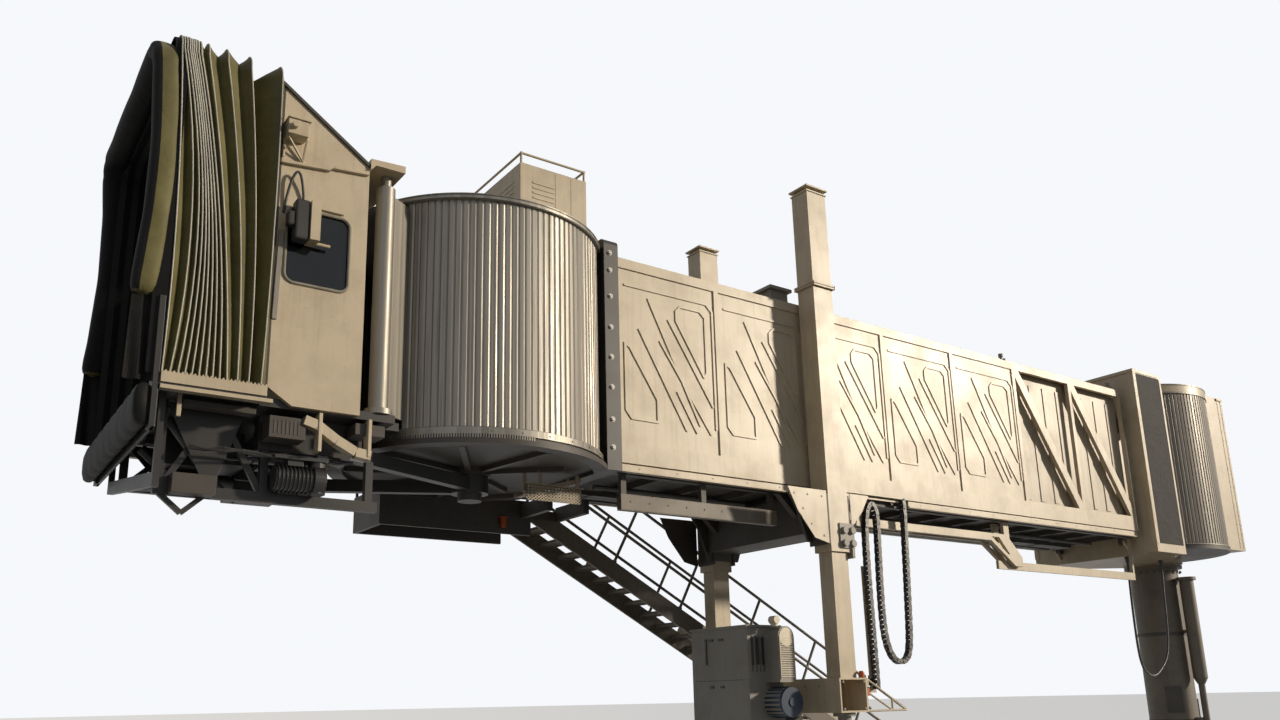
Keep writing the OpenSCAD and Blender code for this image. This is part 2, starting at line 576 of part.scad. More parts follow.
beam_x0 = lift_x + 900;                     // ends of the outer cable beam
beam_x1 = xt0 - 3550;
beam_foot = tz0 - 2 * cable_drop + 50;
module outer_cable_beam() color("#cbc1ad") {
    for (y = [-hw + 130, -hw + 320])
        plate_xz(y, y + 60) difference() {
            polygon([[beam_x0, tz0 - 120 - clear], [beam_x0, tz0 - cable_drop], [beam_x1 - 800, tz0 - cable_drop],
                [beam_x1 - 200, beam_foot], [beam_x1, beam_foot], [beam_x1, beam_foot + 160],
                [beam_x1 - 300, tz0 - cable_drop + 50], [beam_x1 - 300, tz0 - 120 - clear],
                [beam_x1 - 440, tz0 - 120 - clear], [beam_x1 - 440, tz0 - cable_drop + 120],
                [beam_x0 + 140, tz0 - cable_drop + 120], [beam_x0 + 140, tz0 - 120 - clear]]);
            polygon([[beam_x1 - 780, tz0 - cable_drop + 65], [beam_x1 - 580, tz0 - cable_drop + 65],
                [beam_x1 - 330, beam_foot + 190], [beam_x1 - 370, beam_foot + 185]]);
        }
    // ties between the two plates
    for (x = [beam_x0 + 20, beam_x0 + 1300, beam_x1 - 410])
        box(x, x + 80, -hw + 140, -hw + 370, tz0 - cable_drop + 10, tz0 - cable_drop + 100);
    box(beam_x1 - 90, beam_x1 - 10, -hw + 140, -hw + 370, beam_foot + 115, beam_foot + 158);
}
module inner_cable_beam() color("#cbc1ad") {
    box(xt0 - 4100, ixr + 50, -hw + 215, -hw + 265, tz0 - 900, tz0 - 765);
    box(ixr + clear, ixr + 50, -hw + 215, -hw + 265, tz0 - 900, iz0 + 45);
    box(ixr - 75, ixr + 1, -hw + 215, -hw + 265, iz0 - 30, iz0 - clear);
}

// Service stair

land_y0 = hw + 470;
land_y1 = land_y0 + stair_w + 60;
land_x0 = xd - 560;
land_x1 = xt1 + 200;
module stair_landing() color("#55524c") difference() {
    union() {
        box(land_x0, land_x1, land_y0, land_y1, landing_z - 60, landing_z);
        for (y = [land_y0, land_y1 - 50]) box(land_x0, land_x1, y, y + 50, landing_z - 500, landing_z - 59);
        box(land_x0, land_x0 + 50, land_y0, land_y1, landing_z - 500, landing_z - 59);
        // brackets to the underside of the tunnel
        for (x = [land_x1 - 180, land_x1 + 420]) box(x, x + 90, hw - 300, land_y0 + 1, tz0 - 320, tz0 - 120 - clear);
        box(land_x1 - 180, land_x1 + 510, land_y0, land_y0 + 40, tz0 - 320, tz0 - 180);
        // lugs of the stair pivot
        for (y = [land_y0 + 15, land_y1 - 45]) plate_xz(y, y + 30) polygon([[land_x1 - 60, landing_z - 59],
            [land_x1 - 60, landing_z - 300], [stair_x + 20, stair_z - 55], [stair_x + 55, stair_z],
            [stair_x + 20, stair_z + 55], [land_x1, landing_z - 59]]);
        // rails
        for (x = [land_x0 + 30, (land_x0 + land_x1) / 2, land_x1 - 30])
            translate([x, land_y1 - 25, landing_z - 1]) cylinder(r = 20, h = 1085, $fn = 24);
        for (z = [540, 1070]) translate([land_x0 + 15, land_y1 - 25, landing_z + z]) rotate([0, 90, 0])
            cylinder(r = 17, h = land_x1 - land_x0 - 30, $fn = 24);
    }
    // rounded notch beside the drum
    translate([xd, 0, drum_z0 - 10]) cylinder(r = drum_r + 100, h = 200, $fn = 96);
    for (y = [land_y0 + 5, land_y1 - 55]) translate([stair_x, y + 50, stair_z]) rotate([90, 0, 0])
        cylinder(r = 25.05, h = 50, $fn = 32);
}

stair_x = land_x1 + 80;                     // pivot of the stair
stair_z = landing_z - 160;
stair_drop = stair_z - 260;
stair_len = stair_drop / sin(stair_slope);
foot_r = 150;
foot_w = (foot_r + 3 - stair_z + (stair_len - 40) * sin(stair_slope)) / cos(stair_slope);
module stair_flight() color("#55524c") translate([stair_x, 0, stair_z]) rotate([0, stair_slope, 0]) {
    y0 = land_y0 + 50;
    y1 = land_y1 - 60;
    for (y = [y0, y1 - 40]) box(0, stair_len, y, y + 40, -130, 130);
    // pivot pins
    translate([0, y0 + 5, 0]) rotate([90, 0, 0]) cylinder(r = 25, h = 40, $fn = 32);
    translate([0, y1 + 45, 0]) rotate([90, 0, 0]) cylinder(r = 25, h = 50, $fn = 32);
    n = floor(stair_drop / step_rise);
    for (i = [1:n]) translate([i * step_rise / sin(stair_slope) - 60, 0, 0]) rotate([0, -stair_slope, 0])
        box(-10, 270, y0 + 39, y1 - 39, -20, 15);
    for (y = [y0 + 20, y1 - 20]) {
        for (x = [150:1400:stair_len - 100]) translate([x, y, 120]) cylinder(r = 20, h = 1000, $fn = 8);
        for (h = [500, 1000]) translate([150, y, 120 + h])
            rotate([0, 90, 0]) cylinder(r = 20, h = stair_len - 300, $fn = 8);
        // foot wheel
        translate([stair_len - 40, y + 20, foot_w]) rotate([90, 0, 0]) cylinder(r = foot_r, h = 40, $fn = 48);
        box(stair_len - 130, stair_len + 40, y - 20, y + 20, -60 + foot_w / 2, 0);
    }
}

// Cab

xc_rear = xd - cab_rear;
xc_front = xd - cab_front;
cab_slope = (cab_top_front - cab_top_rear) / (cab_front - cab_rear);
canopy_x0 = xc_front - bellows_len;
canopy_x1 = canopy_x0 - bumper_len;
sill_z = tz0 + floor_t + 30;

module cab_floor() color("#77736b") difference() {
    union() {
        difference() {
            union() {
                box(xc_front - 40, xd - 1560, -cab_hw + cab_wall_t + clear, cab_hw - cab_wall_t - clear,
                    tz0, tz0 + floor_t);
                box(xd - 1561, xd - 1400, -1080, 1080, tz0, tz0 + floor_t);
                // front floor and the sills under the bellows
                box(canopy_x0, xc_front - 39, -canopy_hw, canopy_hw, tz0 + 20, tz0 + floor_t + 30);
            }
            translate([xd, 0, tz0 - 10]) cylinder(r = drum_r + 96, h = floor_t + 60, $fn = 128);
        }
        // arms to the kingpin and beams under the floor
        for (s = [-1, 1]) linear_extrude_at(drum_z0 - 220, 150) polygon([[xc_rear, s * 900],
            [xc_rear, s * 1040], [xd - 60, s * 190], [xd - 60, s * 60]]);
        for (s = [-1, 1]) box(xc_front + 60, xc_rear + 60, s * 880, s * 1040, drum_z0 - 220, tz0 + 1);
        translate([xd, 0, drum_z0 - 240]) cylinder(r = 230, h = 220 - clear, $fn = 64);
        for (x = [xc_front + 60, xc_rear - 100]) box(x, x + 120, -1040, 1040, drum_z0 - 220, drum_z0 - 60);
        // lattice underframe: lower rails, posts, braces and cross members
        for (s = [-1, 1]) let (z0 = under_side(s)) {
            box(under_x0, under_x1, s * 940, s * 1020, z0, z0 + 110);
            for (x = [under_x0, under_x0 + 500])
                box(x, x + 80, s * 940, s * 1020, z0 + 109, tz0 + 21);
            for (x = [xc_front + 100, under_x1 - 140])
                box(x, x + 80, s * 940, s * 1020, z0 + 109, drum_z0 - 219);
            plate_xz(s * 955, s * 1005) {
                brace([under_x0 + 60, z0 + 60], [under_x0 + 540, tz0], 60);
                brace([under_x0 + 560, tz0], [xc_front + 140, z0 + 60], 60);
                brace([xc_front + 140, z0 + 60], [xc_rear - 20, drum_z0 - 180], 60);
            }
        }
        // foot of the front brace, on the near side only
        plate_xz(-955, -1005) for (x = [20, 500])
            brace([under_x0 + x, under_z0 + 50], [under_x0 + 270, under_z0 - 160], 50);
        // cross members slope up to the far side
        for (x = [under_x0, under_x0 + 500, xc_front + 100, under_x1 - 140])
            plate_yz(x, x + 80) under_cross(1020, 20, 90);
        plate_yz(under_x0 - 60, under_x0 + 1) under_cross(1300, 10, 150);
        for (s = [-1, 1])
            box(under_x0 - 60, under_x0, s * 1240, s * 1300, under_side(s) + 120, tz0 + 21);
    }
    translate([xd, 0, drum_z0 - 260]) cylinder(r = kingpin_r + 0.05, h = 300, $fn = 64);
}
under_x0 = canopy_x0 + 120;                 // ends of the lattice underframe
under_x1 = xc_rear + 380;
// height of the lower rail on the near side, -1, and on the far side, 1
function under_side(s) = under_z0 + (s > 0 ? under_rise : 0);
// cross member between the two sides, in Y and Z
module under_cross(y, low, high) polygon([[-y, under_side(-1) + low], [y, under_side(1) + low],
    [y, under_side(1) + high], [-y, under_side(-1) + high]]);
// flat bar between two points in X and Z
module brace(a, b, w) translate(a) rotate(atan2(b[1] - a[1], b[0] - a[0]))
    translate([0, -w / 2]) square([norm(b - a), w]);

module cab_wall_outline() polygon([[xc_rear, cab_z0], [xc_rear, cab_top_rear], [xc_front, cab_top_front],
    [xc_front, cab_z0 + 170], [xc_front + 260, cab_z0]]);
win_x0 = xc_front + 110;
win_x1 = xc_rear - 200;
win_z0 = 5790;
win_z1 = 6600;
module cab_wall(s, glazed) color("#cbc1ad") {
    plate_xz(s * (cab_hw - cab_wall_t), s * cab_hw) difference() {
        cab_wall_outline();
        if (glazed) rounded_rect(win_x0, win_x1, win_z0, win_z1, 90);
    }
    // rear return towards the curtain roll
    box(xc_rear - 60, xc_rear, s * (cab_hw - 280), s * (cab_hw - cab_wall_t + 1),
        tz0 + floor_t + clear, cab_top_rear);
}
module rounded_rect(x0, x1, z0, z1, r) {
    translate([x0 + r, z0]) square([x1 - x0 - 2 * r, z1 - z0]);
    translate([x0, z0 + r]) square([x1 - x0, z1 - z0 - 2 * r]);
    for (x = [x0 + r, x1 - r]) for (z = [z0 + r, z1 - r]) translate([x, z]) circle(r = r, $fn = 32);
}
module cab_left_wall() cab_wall(-1, true);
module cab_right_wall() cab_wall(1, false);
module cab_window() color("#1f2a33") plate_xz(-cab_hw + 15, -cab_hw + 40)
    rounded_rect(win_x0 + clear, win_x1 - clear, win_z0 + clear, win_z1 - clear, 90);
module window_lamp() color("#cbc1ad") {
    box(win_x0 + 180, win_x0 + 280, -cab_hw - 200, -cab_hw - clear, win_z1 - 390, win_z1 + 40);
    translate([win_x0 + 230, -cab_hw - 60, win_z1 - 370]) rotate([0, 90, 0]) cylinder(r = 18, h = 200, $fn = 24);
}

fascia_z = cab_top_rear + 65;               // underside of the rear fascia
module cab_roof() color("#cbc1ad") {
    plate_xz(-cab_hw, cab_hw) polygon([[xc_rear, cab_top_rear + clear], [xc_front, cab_top_front + clear],
        [xc_front, cab_top_front + 50], [xc_rear, cab_top_rear + 50]]);
    plate_xz(-cab_hw - 40, cab_hw + 40) polygon([[xc_rear, cab_top_rear + clear], [xc_rear, cab_top_rear + 130],
        [xc_rear + 400, cab_top_rear + 150], [xc_rear + 400, fascia_z], [xc_rear + 60, fascia_z]]);
}

roll_x = xd - 1710;
roll_y = 1250;
module curtain_roll(s) color("#b9b7b1") translate([roll_x, s * roll_y, 0]) {
    translate([0, 0, tz0 + floor_t + clear]) cylinder(r = 150, h = 60, $fn = 48);
    translate([0, 0, tz0 + floor_t + 60]) cylinder(r = 105, h = curtain_z1 - tz0 - floor_t - 120, $fn = 48);
    translate([0, 0, curtain_z1 - 61]) cylinder(r = 60, h = fascia_z - clear - curtain_z1 + 61, $fn = 48);
    // straight run of the curtain from the roll to the drum
    translate([0, 0, tz0 + floor_t + 65]) linear_extrude(curtain_z1 - tz0 - floor_t - 125)
        polygon([[60, -s * 60], [385, -s * 262], [367, -s * 290], [40, -s * 95]]);
}
module left_curtain_roll() curtain_roll(-1);
module right_curtain_roll() curtain_roll(1);

module arch(hw_out, z_top, t, x0, x1, z0) plate_yz(x0, x1) difference() {
    union() {
        translate([-hw_out, z0]) square([2 * hw_out, z_top - z0 - 200]);
        translate([-hw_out + 200, z0]) square([2 * hw_out - 400, z_top - z0]);
        for (s = [-1, 1]) translate([s * (hw_out - 200), z_top - 200]) circle(r = 200, $fn = 48);
    }
    translate([-hw_out + t, z0 - 1]) square([2 * (hw_out - t), z_top - z0 - t + 1]);
}
module canopy_bellows() color("#7d7a3c")
    arch(canopy_hw, canopy_top, bellows_t, canopy_x0 + clear, xc_front - clear, sill_z + clear);
module canopy_bumper() color("#1c1c1b") {
    // side and top pads, the frame legs under them and the floor bumper
    arch(canopy_hw + 20, canopy_top - 60, bumper_t, canopy_x1, canopy_x0 - clear, pad_z0);
    for (s = [-1, 1])
        box(canopy_x0 - 60, canopy_x0 - clear, s * (canopy_hw - 180), s * canopy_hw, tz0 - 400, pad_z0 + 1);
    box(canopy_x0 - 200, canopy_x0 - clear, -canopy_hw, canopy_hw, tz0 - 400, tz0 + 60);
}

// Free cables: each runs through its points and stays in one upright plane

function along(p, i) = let (a = p[max(i - 1, 0)], b = p[min(i + 1, len(p) - 1)]) (b - a) / norm(b - a);
function ring_at(p, i, y, ry, rn) = let (t = along(p, i))
    [for (k = [0:7]) let (a = 22.5 + k * 45, n = rn * cos(a))
        [p[i][0] - n * t[1], y + ry * sin(a), p[i][1] + n * t[0]]];
module cable(p, y, ry, rn) let (n = len(p))
    polyhedron([for (i = [0:n - 1]) each ring_at(p, i, y, ry, rn)],
        [[for (k = [0:7]) k], [for (k = [7:-1:0]) (n - 1) * 8 + k],
            for (i = [0:n - 2]) for (k = [0:7]) each let (a = i * 8 + k, b = i * 8 + (k + 1) % 8)
                [[a, a + 8, b], [b, a + 8, b + 8]]]);

// rubber hose hung from the swing arm
hose_r = 22;
hose_y = -620;
hose_route = [[-2050, 4039.7], [-2050, 3900], [-2062, 3700], [-2080, 3450], [-2092, 3200], [-2100, 2900],
    [-2102, 2600], [-2096, 2350], [-2070, 2130], [-2010, 1970], [-1910, 1870], [-1780, 1815], [-1640, 1810], [-1500, 1860],
    [-1350, 1950], [-1200, 2070], [-1090, 2210], [-1010, 2400], [-960, 2650], [-930, 2900], [-905, 3150],
    [-880, 3400], [-858, 3650], [-835, 3900], [-835, 4039.7]];
module rotunda_cable_loop() color("#161616") cable(hose_route, hose_y, hose_r, hose_r);

// jointed cable carrier beside the lift: up, over and down in a slack loop to the tunnel
chain_y = -hw + 15;
chain_route = [[-9820, 1650], [-9820, 1950], [-9822, 2300], [-9824, 2650], [-9826, 3000], [-9826, 3350],
    [-9822, 3650], [-9812, 3900], [-9785, 4120], [-9735, 4270], [-9660, 4335], [-9590, 4290], [-9556, 4160], [-9552, 3950],
    [-9562, 3650], [-9575, 3350], [-9585, 3050], [-9588, 2750], [-9575, 2480], [-9530, 2260], [-9450, 2110],
    [-9330, 2030], [-9200, 2040], [-9100, 2130], [-9050, 2290], [-9025, 2500], [-9005, 2800], [-8985, 3150],
    [-8965, 3500], [-8948, 3850], [-8932, 4150], [-8932, 4459.7]];
module lift_cable_chain() color("#1d1d1c") cable(chain_route, chain_y, 50, 34);

rotunda_column();
rotunda_floor();
rotunda_roof();
terminal_portal();
rotunda_curtain_left();
rotunda_curtain_right();
swing_portal();
inner_floor();
inner_left_wall();
inner_right_wall();
inner_roof();
inner_cable_beam();
outer_floor();
outer_left_wall();
outer_right_wall();
outer_roof();
cab_end_flange();
outer_cable_beam();
left_lift_tube();
right_lift_tube();
lift_saddle();
drum_floor();
drum_roof();
drum_curtain_left();
drum_curtain_right();
roof_unit();
stair_landing();
axle_frame();
equipment_unit();
bogie_frame();
left_wheel();
right_wheel();
stair_flight();
cab_floor();
cab_left_wall();
cab_right_wall();
cab_roof();
cab_window();
window_lamp();
left_curtain_roll();
right_curtain_roll();
canopy_bellows();
canopy_bumper();
rotunda_cable_loop();
lift_cable_chain();
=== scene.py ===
# Telescopic boarding bridge: rotunda, two tunnels, wheeled lift, slatted cab drum, cab and folding canopy.
# Metres, +Z up; the origin is on the rotunda column at ground level and the tunnel runs to -X.
import math
import bmesh
import bpy
from mathutils import Matrix, Vector


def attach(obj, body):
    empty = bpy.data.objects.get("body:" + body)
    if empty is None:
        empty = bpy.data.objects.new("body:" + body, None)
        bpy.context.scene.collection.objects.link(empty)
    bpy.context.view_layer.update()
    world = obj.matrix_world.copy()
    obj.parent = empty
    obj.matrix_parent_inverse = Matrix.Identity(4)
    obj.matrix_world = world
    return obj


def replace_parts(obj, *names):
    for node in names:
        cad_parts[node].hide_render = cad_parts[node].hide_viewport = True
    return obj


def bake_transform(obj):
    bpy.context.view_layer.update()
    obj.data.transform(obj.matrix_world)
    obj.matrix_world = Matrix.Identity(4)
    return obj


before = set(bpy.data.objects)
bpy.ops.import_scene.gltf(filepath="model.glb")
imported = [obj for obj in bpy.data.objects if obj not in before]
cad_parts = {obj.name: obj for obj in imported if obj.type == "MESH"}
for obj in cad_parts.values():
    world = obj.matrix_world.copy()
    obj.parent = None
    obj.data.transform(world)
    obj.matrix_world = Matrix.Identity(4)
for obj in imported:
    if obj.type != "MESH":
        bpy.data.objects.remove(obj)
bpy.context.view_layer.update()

# Places that several sections share: the axes of the drum and of the lift, how far the lift's columns stand from
# the centre line, and the two ends of the outer tunnel's sheets.
drum_x, lift_x, column_y = -15.74, -10.76, 1.27
cab_end, portal_end = -14.18, -2.32

# Camera: it stands on the apron beside the bridge at a person's eye height and looks up along the tunnel.
# Its place, lens and shift were solved from the tunnel's own edges.
eye = Vector((-21.37, -11.34, 1.6))
right = Vector((0.8235, -0.5669, -0.0203)).normalized()
up = Vector((-0.1199, -0.2089, 0.9705))
up = (up - right * up.dot(right)).normalized()
camera_data = bpy.data.cameras.new("camera")
camera_data.sensor_width = 36.0
camera_data.lens = 28.99
camera_data.shift_x = 0.0168
camera_data.shift_y = 0.0649
camera_data.clip_end = 900.0
camera = bpy.data.objects.new("camera", camera_data)
camera.matrix_world = Matrix.Translation(eye) @ Matrix((right, up, right.cross(up))).transposed().to_4x4()
bpy.context.scene.collection.objects.link(camera)
bpy.context.scene.camera = camera
bpy.context.scene.view_settings.view_transform = "Standard"


# Studio: a matt pale floor, a wide warm key lamp low on the rotunda's side as a late sun would stand,
# and an even white room. The background is white only to the camera and in reflections.
def linear(hex_code):
    """An sRGB hex code as the linear colour that a socket takes."""
    parts = [int(hex_code[i:i + 2], 16) / 255 for i in (1, 3, 5)]
    return tuple(p / 12.92 if p <= 0.04045 else ((p + 0.055) / 1.055) ** 2.4 for p in parts) + (1.0,)


def add(tree, kind, values, out=0):
    """One shader node, fed by numbers, hex colours and other nodes' sockets. None leaves a socket as it is."""
    node = tree.nodes.new("ShaderNode" + kind)
    for key, value in values.items():
        if isinstance(key, str) and hasattr(node, key):
            setattr(node, key, value)
        elif isinstance(value, bpy.types.NodeSocket):
            tree.links.new(value, node.inputs[key])
        elif value is not None:
            node.inputs[key].default_value = linear(value) if isinstance(value, str) else value
    return node.outputs[out] if node.outputs else None


def maths(tree, operation, *values):
    """One sum on sockets and numbers."""
    return add(tree, "Math", {"operation": operation, **dict(enumerate(values))})


def noise(tree, at, scale, detail, **more):
    """Noise at the points of a socket, with scale cells to the metre."""
    return add(tree, "TexNoise", {"Vector": at, "Scale": scale, "Detail": detail, **more})


def spread(tree, value, low, high, to_low=0.0, to_high=1.0):
    """A value whose range from low to high becomes another range."""
    return add(tree, "MapRange", {"Value": value, "From Min": low, "From Max": high,
                                  "To Min": to_low, "To Max": to_high})


def mix(tree, share, first, second):
    """A colour between two, each a hex code or a socket."""
    return add(tree, "Mix", {"data_type": "RGBA", 0: share, 6: first, 7: second}, 2)


def tree_of(name):
    """A new material, its empty node tree and the socket of the points in metres."""
    material = bpy.data.materials.new(name)
    material.use_nodes = True
    material.node_tree.nodes.clear()
    return material, material.node_tree, add(material.node_tree, "TexCoord", {}, "Object")


def seen_rays(tree, *kinds):
    """1 for rays of the kinds named, with all the kinds of ray to choose from."""
    paths = tree.nodes.new("ShaderNodeLightPath").outputs
    seen = paths["Is Camera Ray"]
    for kind in kinds:
        seen = maths(tree, "MAXIMUM", seen, paths[kind])
    return seen, paths


def mesh_of(name, verts, faces, smooth=False):
    """A mesh object from points and faces."""
    mesh = bpy.data.meshes.new(name)
    mesh.from_pydata(verts, [], faces)
    mesh.update()
    if smooth:
        mesh.shade_smooth()
    return bpy.data.objects.new(name, mesh)


def link(obj, material, body=None):
    """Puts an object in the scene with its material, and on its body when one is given."""
    obj.data.materials.append(material)
    bpy.context.scene.collection.objects.link(obj)
    if body:
        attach(obj, body)
    return obj


floor_matt, tree, at = tree_of("matt_studio_floor")
seen, paths = seen_rays(tree, "Is Glossy Ray")
tone = mix(tree, noise(tree, at, 0.35, 4.0), "#d6d5d2", "#e3e2df")
matt = add(tree, "BsdfDiffuse", {"Color": mix(tree, paths["Is Diffuse Ray"], tone, "#8b8985"), "Roughness": 0.9})
glow = add(tree, "Emission", {"Color": "#ffffff", "Strength": 0.8})
both = add(tree, "MixShader", {0: maths(tree, "MULTIPLY", seen, 0.62), 1: matt, 2: glow})
add(tree, "OutputMaterial", {"Surface": both})
floor_radius, floor_sides = 260, 96
turns = [math.tau * i / floor_sides for i in range(floor_sides)]
rim = [(-9 + floor_radius * math.cos(a), floor_radius * math.sin(a), 0.0) for a in turns]
link(mesh_of("studio_floor", rim, [list(range(floor_sides))]), floor_matt)

world = bpy.data.worlds.new("studio_room")
world.use_nodes = True
world.node_tree.nodes.clear()
tree = world.node_tree
seen, paths = seen_rays(tree, "Is Glossy Ray", "Is Transmission Ray")
room = add(tree, "Background", {"Color": "#eef1f6", "Strength": 0.2})
bright = spread(tree, paths["Is Camera Ray"], 0.0, 1.0, 0.6, 1.0)
white = add(tree, "Background", {"Color": "#f6f8fb", "Strength": bright})
add(tree, "OutputWorld", {"Surface": add(tree, "MixShader", {0: seen, 1: room, 2: white})})
bpy.context.scene.world = world


def sun_lamp(name, towards, strength, angle, colour):
    """A sun lamp that shines along the vector towards."""
    data = bpy.data.lights.new(name, "SUN")
    data.energy = strength
    data.angle = math.radians(angle)
    data.color = linear(colour)[:3]
    lamp = bpy.data.objects.new(name, data)
    lamp.rotation_euler = Vector(towards).to_track_quat("-Z", "Y").to_euler()
    bpy.context.scene.collection.objects.link(lamp)


sun_lamp("key_lamp", (-0.74, 0.6, -0.3), 3.3, 4.0, "#fff0da")
sun_lamp("fill_lamp", (0.6, 0.6, -0.53), 0.12, 50.0, "#e8eefc")


# Tunnel steelwork: folded sheet and hollow sections, welded, then sprayed with warm beige two-pack enamel.
# The eye gets a satin, slightly uneven coat with rain runs, dust on the flats and faint orange peel.
def stretched(tree, at, *scale):
    """Points scaled along the three axes."""
    return add(tree, "Mapping", {"Vector": at, "Scale": scale})


def bump(tree, height, strength, distance, under=None):
    """A bumped normal, over another one if under is given."""
    return add(tree, "Bump", {"Height": height, "Strength": strength, "Distance": distance, "Normal": under})


def surface(tree, colour, roughness, normal=None, more=None):
    """Ends a material's tree in one principled shader."""
    shader = {"Base Color": colour, "Roughness": roughness, "Normal": normal, **(more or {})}
    add(tree, "OutputMaterial", {"Surface": add(tree, "BsdfPrincipled", shader)})


def sprayed_enamel(name, hex_code, grime_code, runs=0.35, roughness=0.42, blotch=0.5):
    """Two-pack enamel on sheet steel, IOR 1.5, with grime in blotches and upright rain runs."""
    material, tree, at = tree_of(name)
    # rain runs, about 60 mm wide and a metre long
    run = noise(tree, stretched(tree, at, 14.0, 14.0, 0.8), 1.0, 5.0, Roughness=0.6)
    # blotches of dust, half a metre across
    dust = noise(tree, at, 1.7, 7.0, Roughness=0.62)
    dusty = mix(tree, spread(tree, dust, 0.45, 0.75, 0.0, blotch), hex_code, grime_code)
    runny = mix(tree, spread(tree, run, 0.52, 0.78, 0.0, runs), dusty, grime_code)
    # chips of a few millimetres, drawn at 12 mm so that they show
    chip = spread(tree, noise(tree, at, 80.0, 2.0), 0.72, 0.76, 0.0, 0.55)
    # orange peel of the spray coat, 4 mm, and the slight waviness of welded sheet, 400 mm
    peel = bump(tree, noise(tree, at, 250.0, 1.0), 0.12, 0.0006)
    wave = bump(tree, noise(tree, at, 2.4, 1.0), 0.14, 0.012, peel)
    gloss = spread(tree, dust, 0.3, 0.7, roughness - 0.02, roughness + 0.06)
    surface(tree, mix(tree, chip, runny, "#4a4138"), gloss, wave, {"IOR": 1.5})
    return material


def dress(material, *names):
    """Gives each CAD node named the material."""
    for name in names:
        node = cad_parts[name]
        node.data.materials.clear()
        node.data.materials.append(material)


beige_enamel = sprayed_enamel("beige_enamel", "#c7baa2", "#93846b", roughness=0.4)
dress(beige_enamel, "outer_left_wall", "outer_right_wall", "outer_roof", "left_lift_tube", "right_lift_tube",
      "outer_cable_beam", "inner_cable_beam", "cab_left_wall", "cab_right_wall", "cab_roof", "window_lamp",
      "terminal_portal", "rotunda_roof", "axle_frame", "roof_unit", "swing_portal")
inner_enamel = sprayed_enamel("inner_tunnel_enamel", "#b5aa94", "#7d705b", runs=0.5)
dress(inner_enamel, "inner_left_wall", "inner_right_wall", "inner_roof")

# Dark steelwork: hot-rolled plate and section, welded and bolted. It is brushed with grey-brown chassis enamel
# and dulled by grease and dust.
chassis_enamel = sprayed_enamel("chassis_enamel", "#3d3832", "#27231f", runs=0.3, roughness=0.55, blotch=0.7)
dress(chassis_enamel, "outer_floor", "inner_floor", "rotunda_floor", "bogie_frame",
      "drum_floor", "lift_saddle", "stair_landing")
column_enamel = sprayed_enamel("grey_brown_enamel", "#6f675b", "#433d34", runs=0.4, roughness=0.5, blotch=0.6)
dress(column_enamel, "rotunda_column", "stair_flight")
black_enamel = sprayed_enamel("black_enamel", "#1f1e1d", "#38342e", runs=0.3, roughness=0.45, blotch=0.5)
dress(black_enamel, "cab_end_flange", "cab_floor")
powder_coat = sprayed_enamel("grey_powder_coat", "#8f8c85", "#6a6459", runs=0.25, roughness=0.5)
dress(powder_coat, "equipment_unit", "drum_roof")


# Curtain slats: extruded aluminium profiles, mill finish, that roll up like a shutter. Each slat has weathered to
# its own grey, is a little brighter on its crown and carries upright streaks from the rain.
def mill_aluminium(name, centre_x, pitch, dark="#77736c", light="#928e85"):
    """Extruded aluminium slats about an upright axis, pitch in degrees."""
    material, tree, at = tree_of(name)
    parts = add(tree, "SeparateXYZ", {0: at}).node.outputs
    angle = maths(tree, "ARCTAN2", parts["Y"], maths(tree, "SUBTRACT", parts["X"], centre_x))
    index = maths(tree, "ROUND", maths(tree, "MULTIPLY", angle, 57.2958 / pitch))
    slat = mix(tree, add(tree, "TexWhiteNoise", {"noise_dimensions": "1D", "W": index}, "Value"), dark, light)
    streak = noise(tree, stretched(tree, at, 30.0, 30.0, 0.9), 1.0, 6.0, Roughness=0.65)
    stained = mix(tree, spread(tree, streak, 0.5, 0.8, 0.0, 0.6), slat, "#5f5a50")
    # die lines of the extrusion, drawn at 8 mm
    lines = noise(tree, stretched(tree, at, 120.0, 120.0, 0.5), 1.0, 2.0)
    rough = spread(tree, streak, 0.3, 0.7, 0.36, 0.55)
    surface(tree, stained, rough, bump(tree, lines, 0.25, 0.001), {"Metallic": 0.6})
    return material


dress(mill_aluminium("drum_slat_aluminium", drum_x, 2.88), "drum_curtain_left", "drum_curtain_right")
# The rotunda's slats are the same aluminium as the drum's; their darker tones are painted shade, for the side of the
# rotunda turned from the sun.
dress(mill_aluminium("rotunda_slat_aluminium_painted_shade", 0.0, 3.28, "#4c4944", "#64605a"),
      "rotunda_curtain_left", "rotunda_curtain_right")
dress(mill_aluminium("roll_slat_aluminium", -17.45, 2.0), "left_curtain_roll", "right_curtain_roll")

# Wheels: solid rubber tyres moulded on steel hubs. Matt black with grey road dust and a coarse moulded skin;
# this coat also goes on the CAD wheels, which the dressed tyres further on stand for.
tyre_rubber, tree, at = tree_of("solid_tyre_rubber")
dust = spread(tree, noise(tree, at, 9.0, 6.0), 0.4, 0.75)
skin = bump(tree, noise(tree, at, 180.0, 3.0), 0.4, 0.002)
surface(tree, mix(tree, dust, "#1c1b1a", "#57524a"), 0.82, skin, {"IOR": 1.52})
dress(tyre_rubber, "left_wheel", "right_wheel")

# Cab window: one pane of dark tinted float glass, held in the wall by a rubber gasket.
# It is smooth, with a thin dusty film that dulls its reflections.
tinted_glass, tree, at = tree_of("tinted_float_glass")
film = noise(tree, at, 6.0, 5.0)
haze = spread(tree, film, 0.0, 1.0, 0.04, 0.14)
surface(tree, mix(tree, film, "#06080a", "#12181c"), haze, None, {"IOR": 1.52})
dress(tinted_glass, "cab_window")


